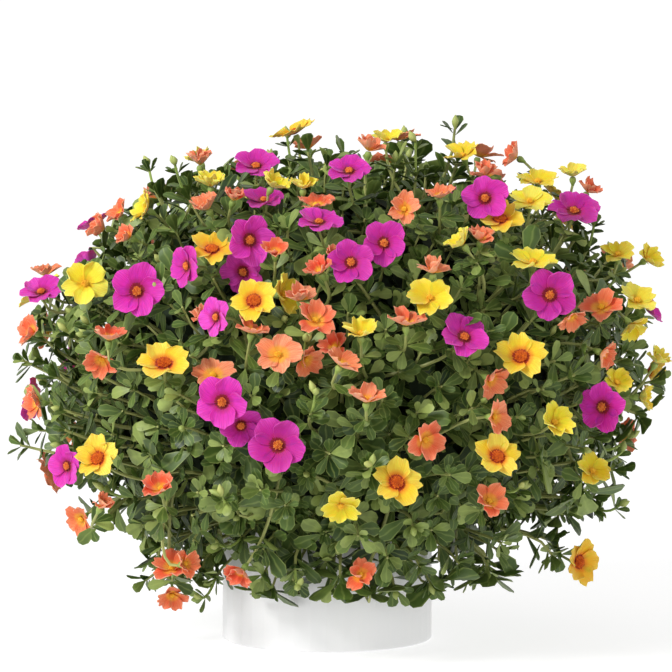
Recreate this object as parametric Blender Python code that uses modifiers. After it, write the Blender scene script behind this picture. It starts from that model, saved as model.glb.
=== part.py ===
"""A portulaca in full bloom, a wide bushy mound over a plain white round pot.

Metres, +Z up. The origin is the middle of the pot's underside, and the photographed side faces -Y.
The mound is ten leafy branches rooted in the soil, with sprays of blooms between their leaves. Places
of the blooms that the photograph shows are its pixel coordinates, in a frame of 672 x 672 pixels, and
each is carried along its line of sight to the mound. The far side is filled by a seeded rule.
"""

import math
import random

import bmesh
import bpy
from mathutils import Matrix, Vector
from mathutils.bvhtree import BVHTree

MM = 0.001

# Pot and soil
POT_RADIUS = 75 * MM
POT_HEIGHT = 125 * MM
POT_WALL = 3 * MM
POT_FLOOR = 4 * MM
POT_EDGE = 1.2 * MM
POT_SIDES = 40
SOIL_TOP = 112 * MM
GAP = 0.3 * MM

# Branches: wedges of one turned core, each with a stem in the soil
BRANCHES = 10
BRANCH_GAP = 1.2 * MM
STEM_RING = 42 * MM
STEM_RADIUS = 3.2 * MM
STEM_SIDES = 6
STEM_DEPTH = 25 * MM
STEM_SUNK = 12 * MM
CORE_CENTRE_X = 8 * MM
CORE_DEPTH_SHARE = 0.94
CORE_COLUMNS = 4
CORE_ROWS = 10
CORE_OUTSIDE_MM = (
    (4, 297), (60, 288), (104, 265), (134, 232), (146, 191), (143, 150), (130, 108), (114, 78),
)
CORE_UNDERSIDE_MM = ((96, 82), (94, 134), (4, 134))
CORE_FACING = 0.35
CORE_HEM_TOP = 90 * MM
CORE_HEM_DROP = (-14 * MM, 10 * MM)
LEAF_POINT_HEIGHT = (7 * MM, 14 * MM)
LEAF_POINT_LEAN = 4 * MM
LEAF_POINT_RISE = (-0.4, 1.6)

# Mound: one shell for the blooms, one inside it for the tips of the leafy twigs
MOUND_CENTRE = Vector((10, 0, 191)) * MM
BLOOM_SHELL = Vector((230, 216, 175)) * MM
LEAF_SHELL = Vector((220, 207, 162)) * MM

# Line of sight of the photograph
PICTURE_CENTRE = 336
PICTURE_SCALE = 480 / 672 * MM
VIEW_TARGET = Vector((6.4, 0, 217)) * MM
VIEW_DISTANCE = 3.0
VIEW_TILT = math.radians(4.5)
TO_RIGHT = Vector((1, 0, 0))
TO_VIEWER = Vector((0, -math.cos(VIEW_TILT), math.sin(VIEW_TILT)))
TO_TOP = Vector((0, math.sin(VIEW_TILT), math.cos(VIEW_TILT)))

# Blooms: five petals, a pointed calyx under them and a three-sided stalk
PETALS = 5
PETAL_NOTCH = 0.68
PETAL_CORNER = 21
CUP_FLOOR = 1.2 * MM
CALYX = 3.4 * MM
CALYX_RADIUS = 2.2 * MM
STALK_RADIUS = 1.2 * MM
STALK_TUCKED = 0.8 * MM
STALK_MAIN = 2.0 * MM
STALK_NECK = 8 * MM
SPRAY_SIZE = 4
SPRAY_ARC_SHARE = 0.8
FORK_TRIES = 300
FORK_LOOSE = 0.08
FORK_DEPTH = (8 * MM, 45 * MM)
FOOT_LENGTH = 8 * MM
FOOT_GAP = 0.35 * MM
JOINT_STEP = 0.22
EASE = 0.4 * MM
PUSH_STEP = 3 * MM
PUSHES = 26
FAR_BLOOMS = 52
FAR_POINTS = 122
FAR_LIMIT = 0.04
FAR_LOWEST = 0.62
FAR_LEAN = ((-0.4, 0.4), (-0.2, 0.4), (-0.05, 0.6))

# Leaves: whorls of five thick spoon-shaped leaves on three-sided twigs
WHORL_LEAVES = 5
LEAF_HALF = 2.1 * MM
LEAF_LENGTH = (26 * MM, 32 * MM)
LEAF_LENGTH_SHARE = (0.86, 1.0)
LEAF_LIFT = (-10, 32)
LEAF_SWING = (-2, 2)
LEAF_OUTLINE = ((-36, 0.34), (-22, 0.78), (0, 1.0), (22, 0.78))
TWIG_RADII = (1.5 * MM, 1.2 * MM)
TWIG_SUNK = 7 * MM
WHORL_TRIES = 14
WHORL_TILT_TIP = 0.4
WHORL_TILT_MIDDLE = 0.2
WHORL_SHRINK = 0.03
TWIGS = 72
TWIG_TRIES = 12
TWIG_LOWEST = 0.74
TWIG_REACH = (0.84, 1.0)
TWIG_RISE = 0.15
TWIG_STEP_IN = 8 * MM
TWIG_STEP_ASIDE = 3 * MM
LOW_WHORL_EVERY = 7
LOW_WHORL_ROOM = 25 * MM
LOW_WHORL_SHARE = (0.4, 0.55)
SKIRT_TWIGS = 15
SKIRT_RADIUS = (104 * MM, 126 * MM)
SKIRT_HEIGHT = (44 * MM, 62 * MM)
SKIRT_WANDER = 0.15
SKIRT_LEAN = 0.1

# Name of the colour, red, green, blue, roughness
COLOURS = {
    "white_pot": (0.86, 0.86, 0.87, 0.35),
    "soil": (0.07, 0.045, 0.03, 0.95),
    "leaf": (0.12, 0.24, 0.06, 0.5),
    "magenta": (0.72, 0.03, 0.42, 0.55),
    "eyed": (0.93, 0.62, 0.03, 0.55),
    "yellow": (0.93, 0.76, 0.05, 0.55),
    "orange": (0.88, 0.22, 0.07, 0.55),
}

# Blooms in sight, the nearer ones first: picture column and row of the bloom's middle, petal length in
# mm, spread of the petals from the bloom's axis, lean of the axis away from the viewer, and the way
# it leans (0 to the right, 90 up), all three in degrees
BLOOMS_IN_SIGHT = (
    ("magenta", 137, 291, 19.5, 78, 5, 90),
    ("magenta", 250, 240, 18.5, 75, 25, 0),
    ("magenta", 222, 402, 19.5, 76, 12, 180),
    ("magenta", 278, 445, 19.5, 78, 10, 90),
    ("magenta", 550, 295, 18.5, 76, 6, 0),
    ("magenta", 465, 336, 18.5, 72, 35, 60),
    ("magenta", 351, 262, 17.0, 75, 20, 90),
    ("magenta", 485, 198, 17.0, 76, 15, 90),
    ("magenta", 574, 210, 19.5, 76, 50, 80),
    ("magenta", 602, 407, 18.0, 75, 28, 180),
    ("magenta", 256, 165, 16.5, 75, 52, 90),
    ("magenta", 349, 170, 16.0, 75, 50, 90),
    ("magenta", 319, 221, 16.5, 75, 60, 90),
    ("magenta", 41, 291, 16.5, 75, 55, 100),
    ("magenta", 185, 266, 15.5, 70, 50, 180),
    ("magenta", 215, 317, 14.5, 72, 45, 180),
    ("eyed", 254, 300, 17.0, 74, 30, 90),
    ("eyed", 164, 362, 20.0, 74, 48, 90),
    ("eyed", 97, 458, 17.5, 72, 28, 130),
    ("eyed", 521, 356, 18.0, 74, 30, 90),
    ("eyed", 498, 456, 17.5, 72, 30, 60),
    ("eyed", 397, 482, 18.0, 74, 28, 60),
    ("eyed", 580, 562, 18.0, 72, 42, 0),
    ("eyed", 212, 248, 16.5, 74, 50, 90),
    ("eyed", 500, 218, 16.5, 74, 45, 90),
    ("yellow", 85, 283, 17.5, 76, 8, 90),
    ("yellow", 430, 297, 18.0, 74, 38, 90),
    ("yellow", 341, 507, 15.5, 70, 38, 270),
    ("yellow", 556, 421, 16.0, 62, 35, 45),
    ("yellow", 361, 330, 15.5, 58, 66, 90),
    ("yellow", 593, 470, 15.5, 70, 40, 60),
    ("yellow", 533, 261, 18.0, 75, 62, 90),
    ("yellow", 638, 299, 16.5, 70, 52, 60),
    ("yellow", 530, 200, 16.5, 72, 58, 90),
    ("yellow", 386, 137, 14.0, 60, 72, 90),
    ("yellow", 462, 152, 15.0, 60, 74, 110),
    ("yellow", 143, 207, 15.0, 60, 76, 150),
    ("yellow", 211, 180, 14.0, 50, 70, 90),
    ("yellow", 275, 182, 14.0, 55, 74, 60),
    ("yellow", 459, 240, 13.5, 50, 74, 130),
    ("yellow", 618, 252, 14.0, 65, 58, 90),
    ("yellow", 650, 258, 14.0, 62, 56, 30),
    ("yellow", 659, 358, 12.5, 50, 68, 60),
    ("orange", 316, 318, 16.5, 64, 45, 70),
    ("orange", 278, 354, 17.0, 72, 30, 90),
    ("orange", 343, 361, 15.0, 58, 62, 60),
    ("orange", 366, 396, 15.0, 55, 60, 90),
    ("orange", 427, 440, 16.5, 66, 40, 350),
    ("orange", 490, 500, 15.0, 66, 38, 60),
    ("orange", 493, 381, 15.0, 58, 52, 330),
    ("orange", 497, 417, 15.0, 58, 48, 0),
    ("orange", 361, 574, 13.5, 62, 20, 90),
    ("orange", 160, 485, 15.5, 50, 50, 100),
    ("orange", 172, 566, 16.0, 64, 48, 90),
    ("orange", 172, 597, 14.0, 62, 45, 270),
    ("orange", 404, 208, 13.5, 60, 22, 90),
    ("orange", 406, 320, 15.5, 62, 74, 90),
    ("orange", 601, 306, 17.0, 70, 48, 100),
    ("orange", 80, 520, 14.5, 66, 45, 220),
    ("orange", 110, 334, 14.0, 50, 68, 80),
    ("orange", 101, 361, 15.0, 60, 42, 250),
    ("orange", 35, 403, 15.0, 62, 64, 180),
    ("orange", 30, 331, 14.0, 60, 58, 160),
    ("orange", 316, 203, 15.5, 66, 72, 90),
    ("orange", 200, 158, 12.5, 38, 76, 90),
    ("orange", 370, 144, 13.0, 40, 76, 80),
    ("orange", 513, 155, 13.0, 58, 74, 150),
    ("orange", 118, 212, 12.5, 55, 65, 140),
    ("orange", 98, 227, 14.0, 45, 72, 170),
    ("orange", 44, 270, 13.0, 50, 76, 100),
    ("orange", 205, 204, 13.5, 45, 60, 120),
    ("orange", 300, 295, 13.5, 45, 45, 90),
    ("orange", 318, 268, 12.5, 50, 60, 120),
    ("orange", 433, 267, 13.0, 50, 68, 90),
    ("orange", 480, 234, 12.5, 40, 65, 90),
    ("orange", 440, 192, 12.5, 50, 70, 90),
    ("orange", 484, 171, 12.5, 50, 72, 90),
    ("orange", 606, 356, 12.5, 45, 56, 330),
    ("orange", 240, 573, 13.5, 60, 52, 230),
    ("orange", 200, 313, 10.5, 35, 60, 120),
    ("orange", 590, 188, 11.5, 50, 65, 60),
    ("magenta", 384, 243, 16.5, 75, 15, 60),
    ("magenta", 243, 272, 17.0, 75, 30, 230),
    ("magenta", 241, 426, 15.5, 72, 12, 270),
    ("magenta", 66, 466, 15.5, 72, 38, 180),
    ("magenta", 264, 199, 15.5, 75, 57, 90),
    ("yellow", 285, 294, 17.0, 68, 60, 10),
    ("yellow", 538, 180, 17.0, 74, 66, 90),
    ("yellow", 573, 172, 13.0, 60, 70, 90),
    ("yellow", 303, 183, 12.0, 50, 72, 90),
    ("yellow", 632, 328, 13.0, 60, 56, 300),
    ("yellow", 645, 397, 12.0, 50, 70, 0),
    ("yellow", 618, 381, 13.0, 60, 40, 60),
    ("orange", 252, 328, 14.0, 60, 66, 80),
    ("orange", 334, 345, 13.0, 60, 50, 120),
    ("orange", 308, 360, 13.0, 60, 42, 340),
    ("orange", 213, 374, 16.0, 70, 35, 90),
    ("orange", 235, 195, 11.5, 42, 62, 70),
    ("orange", 335, 258, 12.0, 55, 50, 60),
    ("orange", 275, 250, 12.0, 55, 45, 90),
    ("orange", 573, 319, 12.0, 55, 56, 300),
    ("orange", 125, 236, 11.0, 45, 58, 160),
    ("orange", 103, 503, 11.0, 50, 58, 60),
    ("orange", 187, 563, 12.5, 60, 45, 20),
)

# The far side: colours in turn, petal length in mm and spread in degrees
FAR_KINDS = (
    ("magenta", 18.0, 75), ("yellow", 17.0, 72), ("orange", 15.0, 62), ("eyed", 17.5, 74),
    ("orange", 13.5, 48), ("magenta", 17.0, 74), ("orange", 15.5, 66), ("yellow", 15.5, 64),
)

SPRAY_COLOURS = ("leaf", "magenta", "eyed", "yellow", "orange")

GOLDEN_ANGLE = math.pi * (3 - math.sqrt(5))


def clear_scene():
    """Remove the objects of the opening scene."""
    for thing in list(bpy.data.objects):
        bpy.data.objects.remove(thing, do_unlink=True)


def new_collection(name):
    """A collection linked to the scene."""
    collection = bpy.data.collections.new(name)
    bpy.context.scene.collection.children.link(collection)
    return collection


def material(name):
    """The Principled BSDF material of a named colour."""
    found = bpy.data.materials.get(name)
    if found:
        return found
    red, green, blue, roughness = COLOURS[name]
    made = bpy.data.materials.new(name)
    made.use_nodes = True
    shader = made.node_tree.nodes["Principled BSDF"]
    shader.inputs["Base Color"].default_value = (red, green, blue, 1)
    shader.inputs["Roughness"].default_value = roughness
    shader.inputs["Metallic"].default_value = 0
    return made


def new_object(name, shape, collection, colours):
    """A named object from a bmesh, which is freed."""
    mesh = bpy.data.meshes.new(name)
    shape.to_mesh(mesh)
    shape.free()
    thing = bpy.data.objects.new(name, mesh)
    for colour in colours:
        mesh.materials.append(material(colour))
    collection.objects.link(thing)
    return thing


def applied(thing):
    """Replace an object's mesh by its evaluated one, and drop its modifiers."""
    graph = bpy.context.evaluated_depsgraph_get()
    graph.update()
    mesh = bpy.data.meshes.new_from_object(thing.evaluated_get(graph))
    thing.modifiers.clear()
    thing.data = mesh


def fuse(thing, repeats, solver="EXACT"):
    """Join a list of shapes onto an object by one Boolean union on their collection."""
    joined = new_collection(thing.name + "_repeats")
    for number, shape in enumerate(repeats):
        colours = [slot.name for slot in thing.data.materials]
        new_object(f"{thing.name}_repeat_{number}", shape, joined, colours)
    union = thing.modifiers.new("join", "BOOLEAN")
    union.operation = "UNION"
    union.operand_type = "COLLECTION"
    union.collection = joined
    union.solver = solver
    applied(thing)
    for repeat in list(joined.objects):
        bpy.data.objects.remove(repeat, do_unlink=True)
    bpy.data.collections.remove(joined)
    keep_outside(thing)


def keep_outside(thing):
    """Keep a fused object's one outer surface: sealed hollows are filled, and loose scraps dropped."""
    shape = bmesh.new()
    shape.from_mesh(thing.data)
    waiting = set(shape.verts)
    bodies = []
    while waiting:
        body = {waiting.pop()}
        edge = list(body)
        while edge:
            for link in edge.pop().link_edges:
                for vert in link.verts:
                    if vert in waiting:
                        waiting.remove(vert)
                        body.add(vert)
                        edge.append(vert)
        bodies.append(body)
    largest = max(bodies, key=len)
    extra = [vert for body in bodies if body is not largest for vert in body]
    bmesh.ops.delete(shape, geom=extra, context="VERTS")
    shape.to_mesh(thing.data)
    shape.free()


def turned(name, profile, collection, colour):
    """A round solid: a closed profile of (radius, height) turned by a Screw modifier."""
    shape = bmesh.new()
    ring = [shape.verts.new((radius, 0, height)) for radius, height in profile]
    for first, second in zip(ring, ring[1:]):
        shape.edges.new((first, second))
    thing = new_object(name, shape, collection, [colour])
    screw = thing.modifiers.new("turn", "SCREW")
    screw.steps = POT_SIDES
    screw.render_steps = POT_SIDES
    screw.use_merge_vertices = True
    screw.merge_threshold = 0.01 * MM
    thing.data.shade_smooth()
    return thing


def path_rings(shape, path, radii, sides=3):
    """Loops of corners round the points of a path, square to it, each joined to the next by quads."""
    ways = [(after - before).normalized() for before, after in zip(path, path[1:])]
    tangents = [ways[0]] + [(a + b).normalized() for a, b in zip(ways, ways[1:])] + [ways[-1]]
    side = tangents[0].orthogonal()
    rings = []
    for place, radius, tangent in zip(path, radii, tangents):
        side = (side - tangent * side.dot(tangent)).normalized()
        other = tangent.cross(side)
        ring = []
        for number in range(sides):
            angle = number * math.tau / sides
            ring.append(shape.verts.new(place + (side * math.cos(angle) + other * math.sin(angle)) * radius))
        rings.append(ring)
    return rings


def sleeve(shape, low, high):
    """Join two like rings by quads."""
    for number in range(len(low)):
        after = (number + 1) % len(low)
        shape.faces.new((low[number], low[after], high[after], high[number]))


def stem(path, radius_low, radius_high, sides=3):
    """A closed prism along a path, with flat ends."""
    shape = bmesh.new()
    last = len(path) - 1
    radii = [radius_low + (radius_high - radius_low) * number / last for number in range(last + 1)]
    rings = path_rings(shape, path, radii, sides)
    for low, high in zip(rings, rings[1:]):
        sleeve(shape, low, high)
    shape.faces.new(rings[0])
    shape.faces.new(rings[-1])
    bmesh.ops.recalc_face_normals(shape, faces=shape.faces)
    return shape


def loft(shape, ring, rim, place, facing):
    """Join a small ring to a lobed rim: each rim edge to the ring's nearest corner, by bearing."""
    side = facing.orthogonal().normalized()
    other = facing.cross(side)
    centre = sum((corner.co for corner in ring), Vector()) / len(ring)

    def bearing(vert, middle):
        return math.atan2((vert.co - middle).dot(other), (vert.co - middle).dot(side))

    def nearest(vert):
        here = bearing(vert, place)
        return min(ring, key=lambda corner: abs(math.remainder(bearing(corner, centre) - here, math.tau)))

    for first, second in zip(rim, rim[1:] + rim[:1]):
        near_first = nearest(first)
        near_second = nearest(second)
        shape.faces.new((near_first, first, second))
        if near_first != near_second:
            shape.faces.new((near_first, second, near_second))


def fan(shape, rim, tip):
    """Close a rim by triangles to one point."""
    top = shape.verts.new(tip)
    for first, second in zip(rim, rim[1:] + rim[:1]):
        shape.faces.new((first, second, top))


def axes(facing, turn):
    """The frame of a bloom or whorl: two sideways axes and the way it faces, turned about it."""
    frame = facing.to_track_quat("Z", "Y").to_matrix() @ Matrix.Rotation(turn, 3, "Z")
    return frame


class Thicket:
    """The solids that stand so far, each with the ball that holds it, to keep newcomers clear of them."""

    def __init__(self):
        self.standing = []

    def ball(self, shape):
        """The middle and radius of a ball that holds a shape."""
        points = [vert.co for vert in shape.verts]
        middle = sum(points, Vector()) / len(points)
        return middle, max((point - middle).length for point in points)

    def add(self, shape, owner):
        """Note a shape as standing."""
        middle, radius = self.ball(shape)
        self.standing.append((middle, radius, BVHTree.FromBMesh(shape), owner))

    def touched(self, shape, own=None):
        """Whether a shape's surface cuts any standing one, apart from the one that it grows on."""
        middle, radius = self.ball(shape)
        tree = BVHTree.FromBMesh(shape)
        for other_middle, other_radius, other_tree, other_owner in self.standing:
            if own is not None and other_owner == own:
                continue
            if (other_middle - middle).length > other_radius + radius:
                continue
            if tree.overlap(other_tree):
                return True
        return False


def divided(point, shell):
    """A point in the mound's own measure, where the shell is a ball of radius one."""
    return Vector((point.x / shell.x, point.y / shell.y, point.z / shell.z))


def shell_normal(point, shell=BLOOM_SHELL):
    """The outward direction square to the shell that passes through a point."""
    local = point - MOUND_CENTRE
    return Vector((local.x / shell.x**2, local.y / shell.y**2, local.z / shell.z**2)).normalized()


def seat_in_sight(column, row):
    """Where the line of sight through a picture point meets the bloom shell, or passes nearest to it."""
    aside = (column - PICTURE_CENTRE) * PICTURE_SCALE
    above = (PICTURE_CENTRE - row) * PICTURE_SCALE
    eye = VIEW_TARGET + TO_VIEWER * VIEW_DISTANCE
    sight = (VIEW_TARGET + TO_RIGHT * aside + TO_TOP * above - eye).normalized()
    start = divided(eye - MOUND_CENTRE, BLOOM_SHELL)
    way = divided(sight, BLOOM_SHELL)
    half = start.dot(way)
    square = max(half * half - way.dot(way) * (start.dot(start) - 1), 0)
    return eye + sight * (-half - math.sqrt(square)) / way.dot(way), sight


class Bloom:
    """One bloom: its colour, its place and facing, and the petals' length, spread and turn."""

    def __init__(self, colour, seat, inward, facing, petal, spread, turn):
        self.colour = colour
        self.seat = seat
        self.inward = inward
        self.facing = facing
        self.petal = petal
        self.spread = spread
        self.turn = turn
        self.neck_length = STALK_NECK

    def base(self):
        """The point under the petals where the stalk ends."""
        return self.seat - self.facing * self.petal * math.cos(self.spread) / 2

    def rim(self, shape, ease):
        """The petals' edge: a notch between petals and the two corners of each."""
        frame = axes(self.facing, self.turn)
        found = []
        for number in range(PETALS):
            for offset, share in ((-36, PETAL_NOTCH), (-PETAL_CORNER, 1), (PETAL_CORNER, 1)):
                angle = math.radians(number * 360 / PETALS + offset)
                out = share * self.petal * math.sin(self.spread) + ease
                up = share * self.petal * math.cos(self.spread)
                local = Vector((out * math.cos(angle), out * math.sin(angle), up))
                found.append(shape.verts.new(self.base() + frame @ local))
        return found

    def shape(self, path=(), radii=(), ease=0.0):
        """The bloom on its stalk: rings along the path, a calyx, and five petals round the cup."""
        shape = bmesh.new()
        calyx = self.base() - self.facing * (CALYX + ease)
        route = list(path) + [self.neck(), calyx]
        rings = path_rings(shape, route, list(radii) + [STALK_RADIUS, CALYX_RADIUS + ease])
        for low, high in zip(rings, rings[1:]):
            sleeve(shape, low, high)
        shape.faces.new(rings[0])
        green = set(shape.faces)
        rim = self.rim(shape, ease)
        loft(shape, rings[-1], rim, self.base(), self.facing)
        fan(shape, rim, self.base() + self.facing * (CUP_FLOOR + ease))
        for face in shape.faces:
            face.material_index = 0 if face in green else SPRAY_COLOURS.index(self.colour)
        bmesh.ops.recalc_face_normals(shape, faces=shape.faces)
        return shape

    def neck(self):
        """Where the stalk bends, straight behind the calyx."""
        return self.base() - self.facing * (CALYX + self.neck_length)


def blooms_in_sight():
    """The blooms that the photograph shows, each seated on its line of sight."""
    found = []
    for number, (colour, column, row, petal, spread, lean, clock) in enumerate(BLOOMS_IN_SIGHT):
        seat, sight = seat_in_sight(column, row)
        lean = math.radians(lean)
        clock = math.radians(clock)
        sideways = TO_RIGHT * math.cos(clock) + TO_TOP * math.sin(clock)
        facing = TO_VIEWER * math.cos(lean) + sideways * math.sin(lean)
        turn = number * GOLDEN_ANGLE
        found.append(Bloom(colour, seat, sight, facing, petal * MM, math.radians(spread), turn))
    return found


def on_shell(shell, number, count, lowest, reach=1.0):
    """Point of a spiral of evenly spread points over a shell, from its top down to its lowest share."""
    height = 1 - (1 + lowest) * (number + 0.5) / count
    level = math.sqrt(1 - height * height)
    around = number * GOLDEN_ANGLE
    way = Vector((level * math.cos(around), level * math.sin(around), height)) * reach
    return MOUND_CENTRE + Vector((way.x * shell.x, way.y * shell.y, way.z * shell.z))


def blooms_far_side():
    """Blooms where the photograph can't see: a spiral over the shell, its back half, colours in turn."""
    draw = random.Random(31)
    found = []
    for number in range(FAR_POINTS):
        seat = on_shell(BLOOM_SHELL, number, FAR_POINTS, FAR_LOWEST)
        if seat.y < FAR_LIMIT * BLOOM_SHELL.y or len(found) >= FAR_BLOOMS:
            continue
        outward = shell_normal(seat)
        lean = Vector([draw.uniform(*limits) for limits in FAR_LEAN])
        colour, petal, spread = FAR_KINDS[len(found) % len(FAR_KINDS)]
        petal = petal * draw.uniform(0.92, 1.08) * MM
        found.append(Bloom(colour, seat, -outward, (outward + lean).normalized(), petal,
                           math.radians(spread), number * GOLDEN_ANGLE))
    return found


def settle_blooms(blooms, thicket):
    """Push each bloom back along its way in until it is clear of those before it; drop what never is."""
    settled = []
    for bloom in blooms:
        for _ in range(PUSHES):
            shape = bloom.shape(ease=EASE)
            clear = not thicket.touched(shape)
            if clear:
                thicket.add(shape, bloom)
                settled.append(bloom)
            shape.free()
            if clear:
                break
            bloom.seat = bloom.seat + bloom.inward * PUSH_STEP
    return settled


def round_the_mound(bloom):
    """How far round from the middle of the photographed side a bloom stands, as an arc, and its height."""
    local = bloom.seat - MOUND_CENTRE
    return math.atan2(local.x, -local.y) * BLOOM_SHELL.x * SPRAY_ARC_SHARE, local.z


def split_sprays(blooms):
    """Halve a list of blooms across its wider way, round or up, until no spray has more than its few."""
    if len(blooms) <= SPRAY_SIZE:
        return [blooms]
    places = [round_the_mound(bloom) for bloom in blooms]
    widths = [max(row) - min(row) for row in zip(*places)]
    axis = widths.index(max(widths))
    ordered = sorted(blooms, key=lambda bloom: round_the_mound(bloom)[axis])
    middle = SPRAY_SIZE * max(1, round(len(ordered) / 2 / SPRAY_SIZE))
    return split_sprays(ordered[:middle]) + split_sprays(ordered[middle:])


def spaced(points, count):
    """Count + 1 points at even steps along a line through the given points."""
    lengths = [math.dist(a, b) for a, b in zip(points, points[1:])]
    found = []
    for number in range(count + 1):
        along = sum(lengths) * number / count
        place = 0
        while place < len(lengths) - 1 and along > lengths[place]:
            along -= lengths[place]
            place += 1
        share = along / lengths[place]
        found.append([a + (b - a) * share for a, b in zip(points[place], points[place + 1])])
    return found


def in_order(parts, place):
    """Parts of a mesh in the order of their places, so that draws for them repeat."""
    return sorted(parts, key=lambda part: tuple(round(share / MM) for share in place(part)))


def raise_leaf_points(shape, profile, draw):
    """Raise every patch between the profile's outside points to the thick point of a leaf."""
    outside = {(round(radius), round(height)) for radius, height in profile}
    patches = []
    for face in shape.faces:
        corners = [(round(vert.co.xy.length / MM), round(vert.co.z / MM)) for vert in face.verts]
        if len(corners) == 4 and all(corner in outside for corner in corners):
            patches.append(face)
    for face in in_order(patches, lambda face: face.calc_center_median()):
        raised = bmesh.ops.poke(shape, faces=[face], offset=draw.uniform(*LEAF_POINT_HEIGHT))
        lean = Vector((draw.uniform(-1, 1), draw.uniform(-1, 1), draw.uniform(*LEAF_POINT_RISE)))
        raised["verts"][0].co += lean * LEAF_POINT_LEAN


def core_wedge(number):
    """One wedge of the core: its profile spun through the branch's share of the circle, with leaf points
    over its outside and an uneven hem."""
    shape = bmesh.new()
    share = math.tau / BRANCHES
    outside = spaced(CORE_OUTSIDE_MM, CORE_ROWS)
    profile = outside + list(CORE_UNDERSIDE_MM)
    corners = [shape.verts.new((radius * MM, 0, height * MM)) for radius, height in profile]
    face = shape.faces.new(corners)
    bmesh.ops.rotate(shape, verts=shape.verts, matrix=Matrix.Rotation(number * share, 3, "Z"))
    bmesh.ops.spin(shape, geom=[face] + face.edges[:] + corners, cent=(0, 0, 0), axis=(0, 0, 1),
                   angle=share, steps=CORE_COLUMNS, use_duplicate=False)
    bmesh.ops.recalc_face_normals(shape, faces=shape.faces)
    draw = random.Random(number)
    raise_leaf_points(shape, outside, draw)
    hem = [vert for vert in shape.verts if vert.co.z < CORE_HEM_TOP]
    for vert in in_order(hem, lambda vert: vert.co):
        vert.co.z += draw.uniform(*CORE_HEM_DROP)
    for vert in shape.verts:
        vert.co.y *= CORE_DEPTH_SHARE
    middle = (number + 0.5) * share
    apart = Vector((math.cos(middle), math.sin(middle), 0)) * BRANCH_GAP
    bmesh.ops.translate(shape, verts=shape.verts, vec=apart + Vector((CORE_CENTRE_X, 0, 0)))
    return shape


def root_place(number):
    """Where a branch's stem stands, seen from above."""
    middle = (number + 0.5) * math.tau / BRANCHES
    return Vector((math.cos(middle), math.sin(middle), 0)) * STEM_RING + Vector((CORE_CENTRE_X / 2, 0, 0))


def root_stem(number, radius, low, high):
    """A branch's stem, or its hole: an upright six-sided prism."""
    place = root_place(number)
    path = [place + Vector((0, 0, low)), place + Vector((0, 0, high))]
    return stem(path, radius, radius, STEM_SIDES)


class Core:
    """The wedges, to find where a line runs into one of them."""

    def __init__(self, wedges):
        self.trees = [BVHTree.FromBMesh(wedge) for wedge in wedges]

    def hit(self, start, way):
        """The nearest hit on a wedge's outer surface: place, normal and wedge, or None."""
        best = None
        for number, tree in enumerate(self.trees):
            place, normal, _, distance = tree.ray_cast(start, way)
            if place is not None and (best is None or distance < best[0]):
                best = (distance, place, normal, number)
        if best is None or best[2].dot(way) > -CORE_FACING:
            return None
        return best[1:]


def clear_fork(spray, core, thicket, draw):
    """The fork and foot of a spray: the first try whose stalks stay clear of all that stands."""
    middle = sum((bloom.neck() for bloom in spray), Vector()) / len(spray)
    outward = shell_normal(middle)
    for attempt in range(FORK_TRIES):
        for bloom in spray:
            bloom.neck_length = STALK_NECK if attempt < FORK_TRIES / 3 else STALK_NECK / 3
        loose = FORK_LOOSE * attempt / FORK_TRIES
        aside = Vector((draw.uniform(-1, 1), draw.uniform(-1, 1), draw.uniform(-1, 1))) * loose
        fork = middle - outward * draw.uniform(*FORK_DEPTH) + aside
        found = core.hit(fork, -outward)
        if not found:
            continue
        place, normal, _ = found
        if (place - fork).length < 1.4 * FOOT_LENGTH or (place - fork).dot(normal) > 0:
            continue
        elbow = place + normal * FOOT_LENGTH
        foot = [place + normal * FOOT_GAP, elbow, fork]
        paths = [foot] + [[fork.lerp(elbow, JOINT_STEP * number)] for number in range(1, len(spray))]
        tests = [(foot, None)]
        tests += [(path[-1:] + [bloom.neck(), bloom.base()], bloom) for path, bloom in zip(paths, spray)]
        blocked = any(touching(path, owner, thicket) for path, owner in tests)
        if not blocked and all(sound_on(bloom, path) for bloom, path in zip(spray, paths)):
            for path, _ in tests:
                piece = stem(path, STALK_MAIN, STALK_MAIN)
                thicket.add(piece, None)
                piece.free()
            return paths
    return None


def on_stalk(bloom, path):
    """A bloom's shape on its stalk: the first of a spray carries the main stalk from the foot on."""
    radii = [STALK_RADIUS, STALK_MAIN, STALK_MAIN] if len(path) > 1 else [STALK_TUCKED]
    return bloom.shape(path, radii)


def sound_on(bloom, path):
    """Whether a bloom's shape on its stalk stays clear of itself."""
    shape = on_stalk(bloom, path)
    crossed = crosses_itself(shape)
    shape.free()
    return not crossed


def touching(path, owner, thicket):
    """Whether a stalk along a path would cut any standing solid but its own bloom."""
    trial = stem(path, STALK_MAIN, STALK_MAIN)
    cut = thicket.touched(trial, owner)
    trial.free()
    return cut


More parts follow.
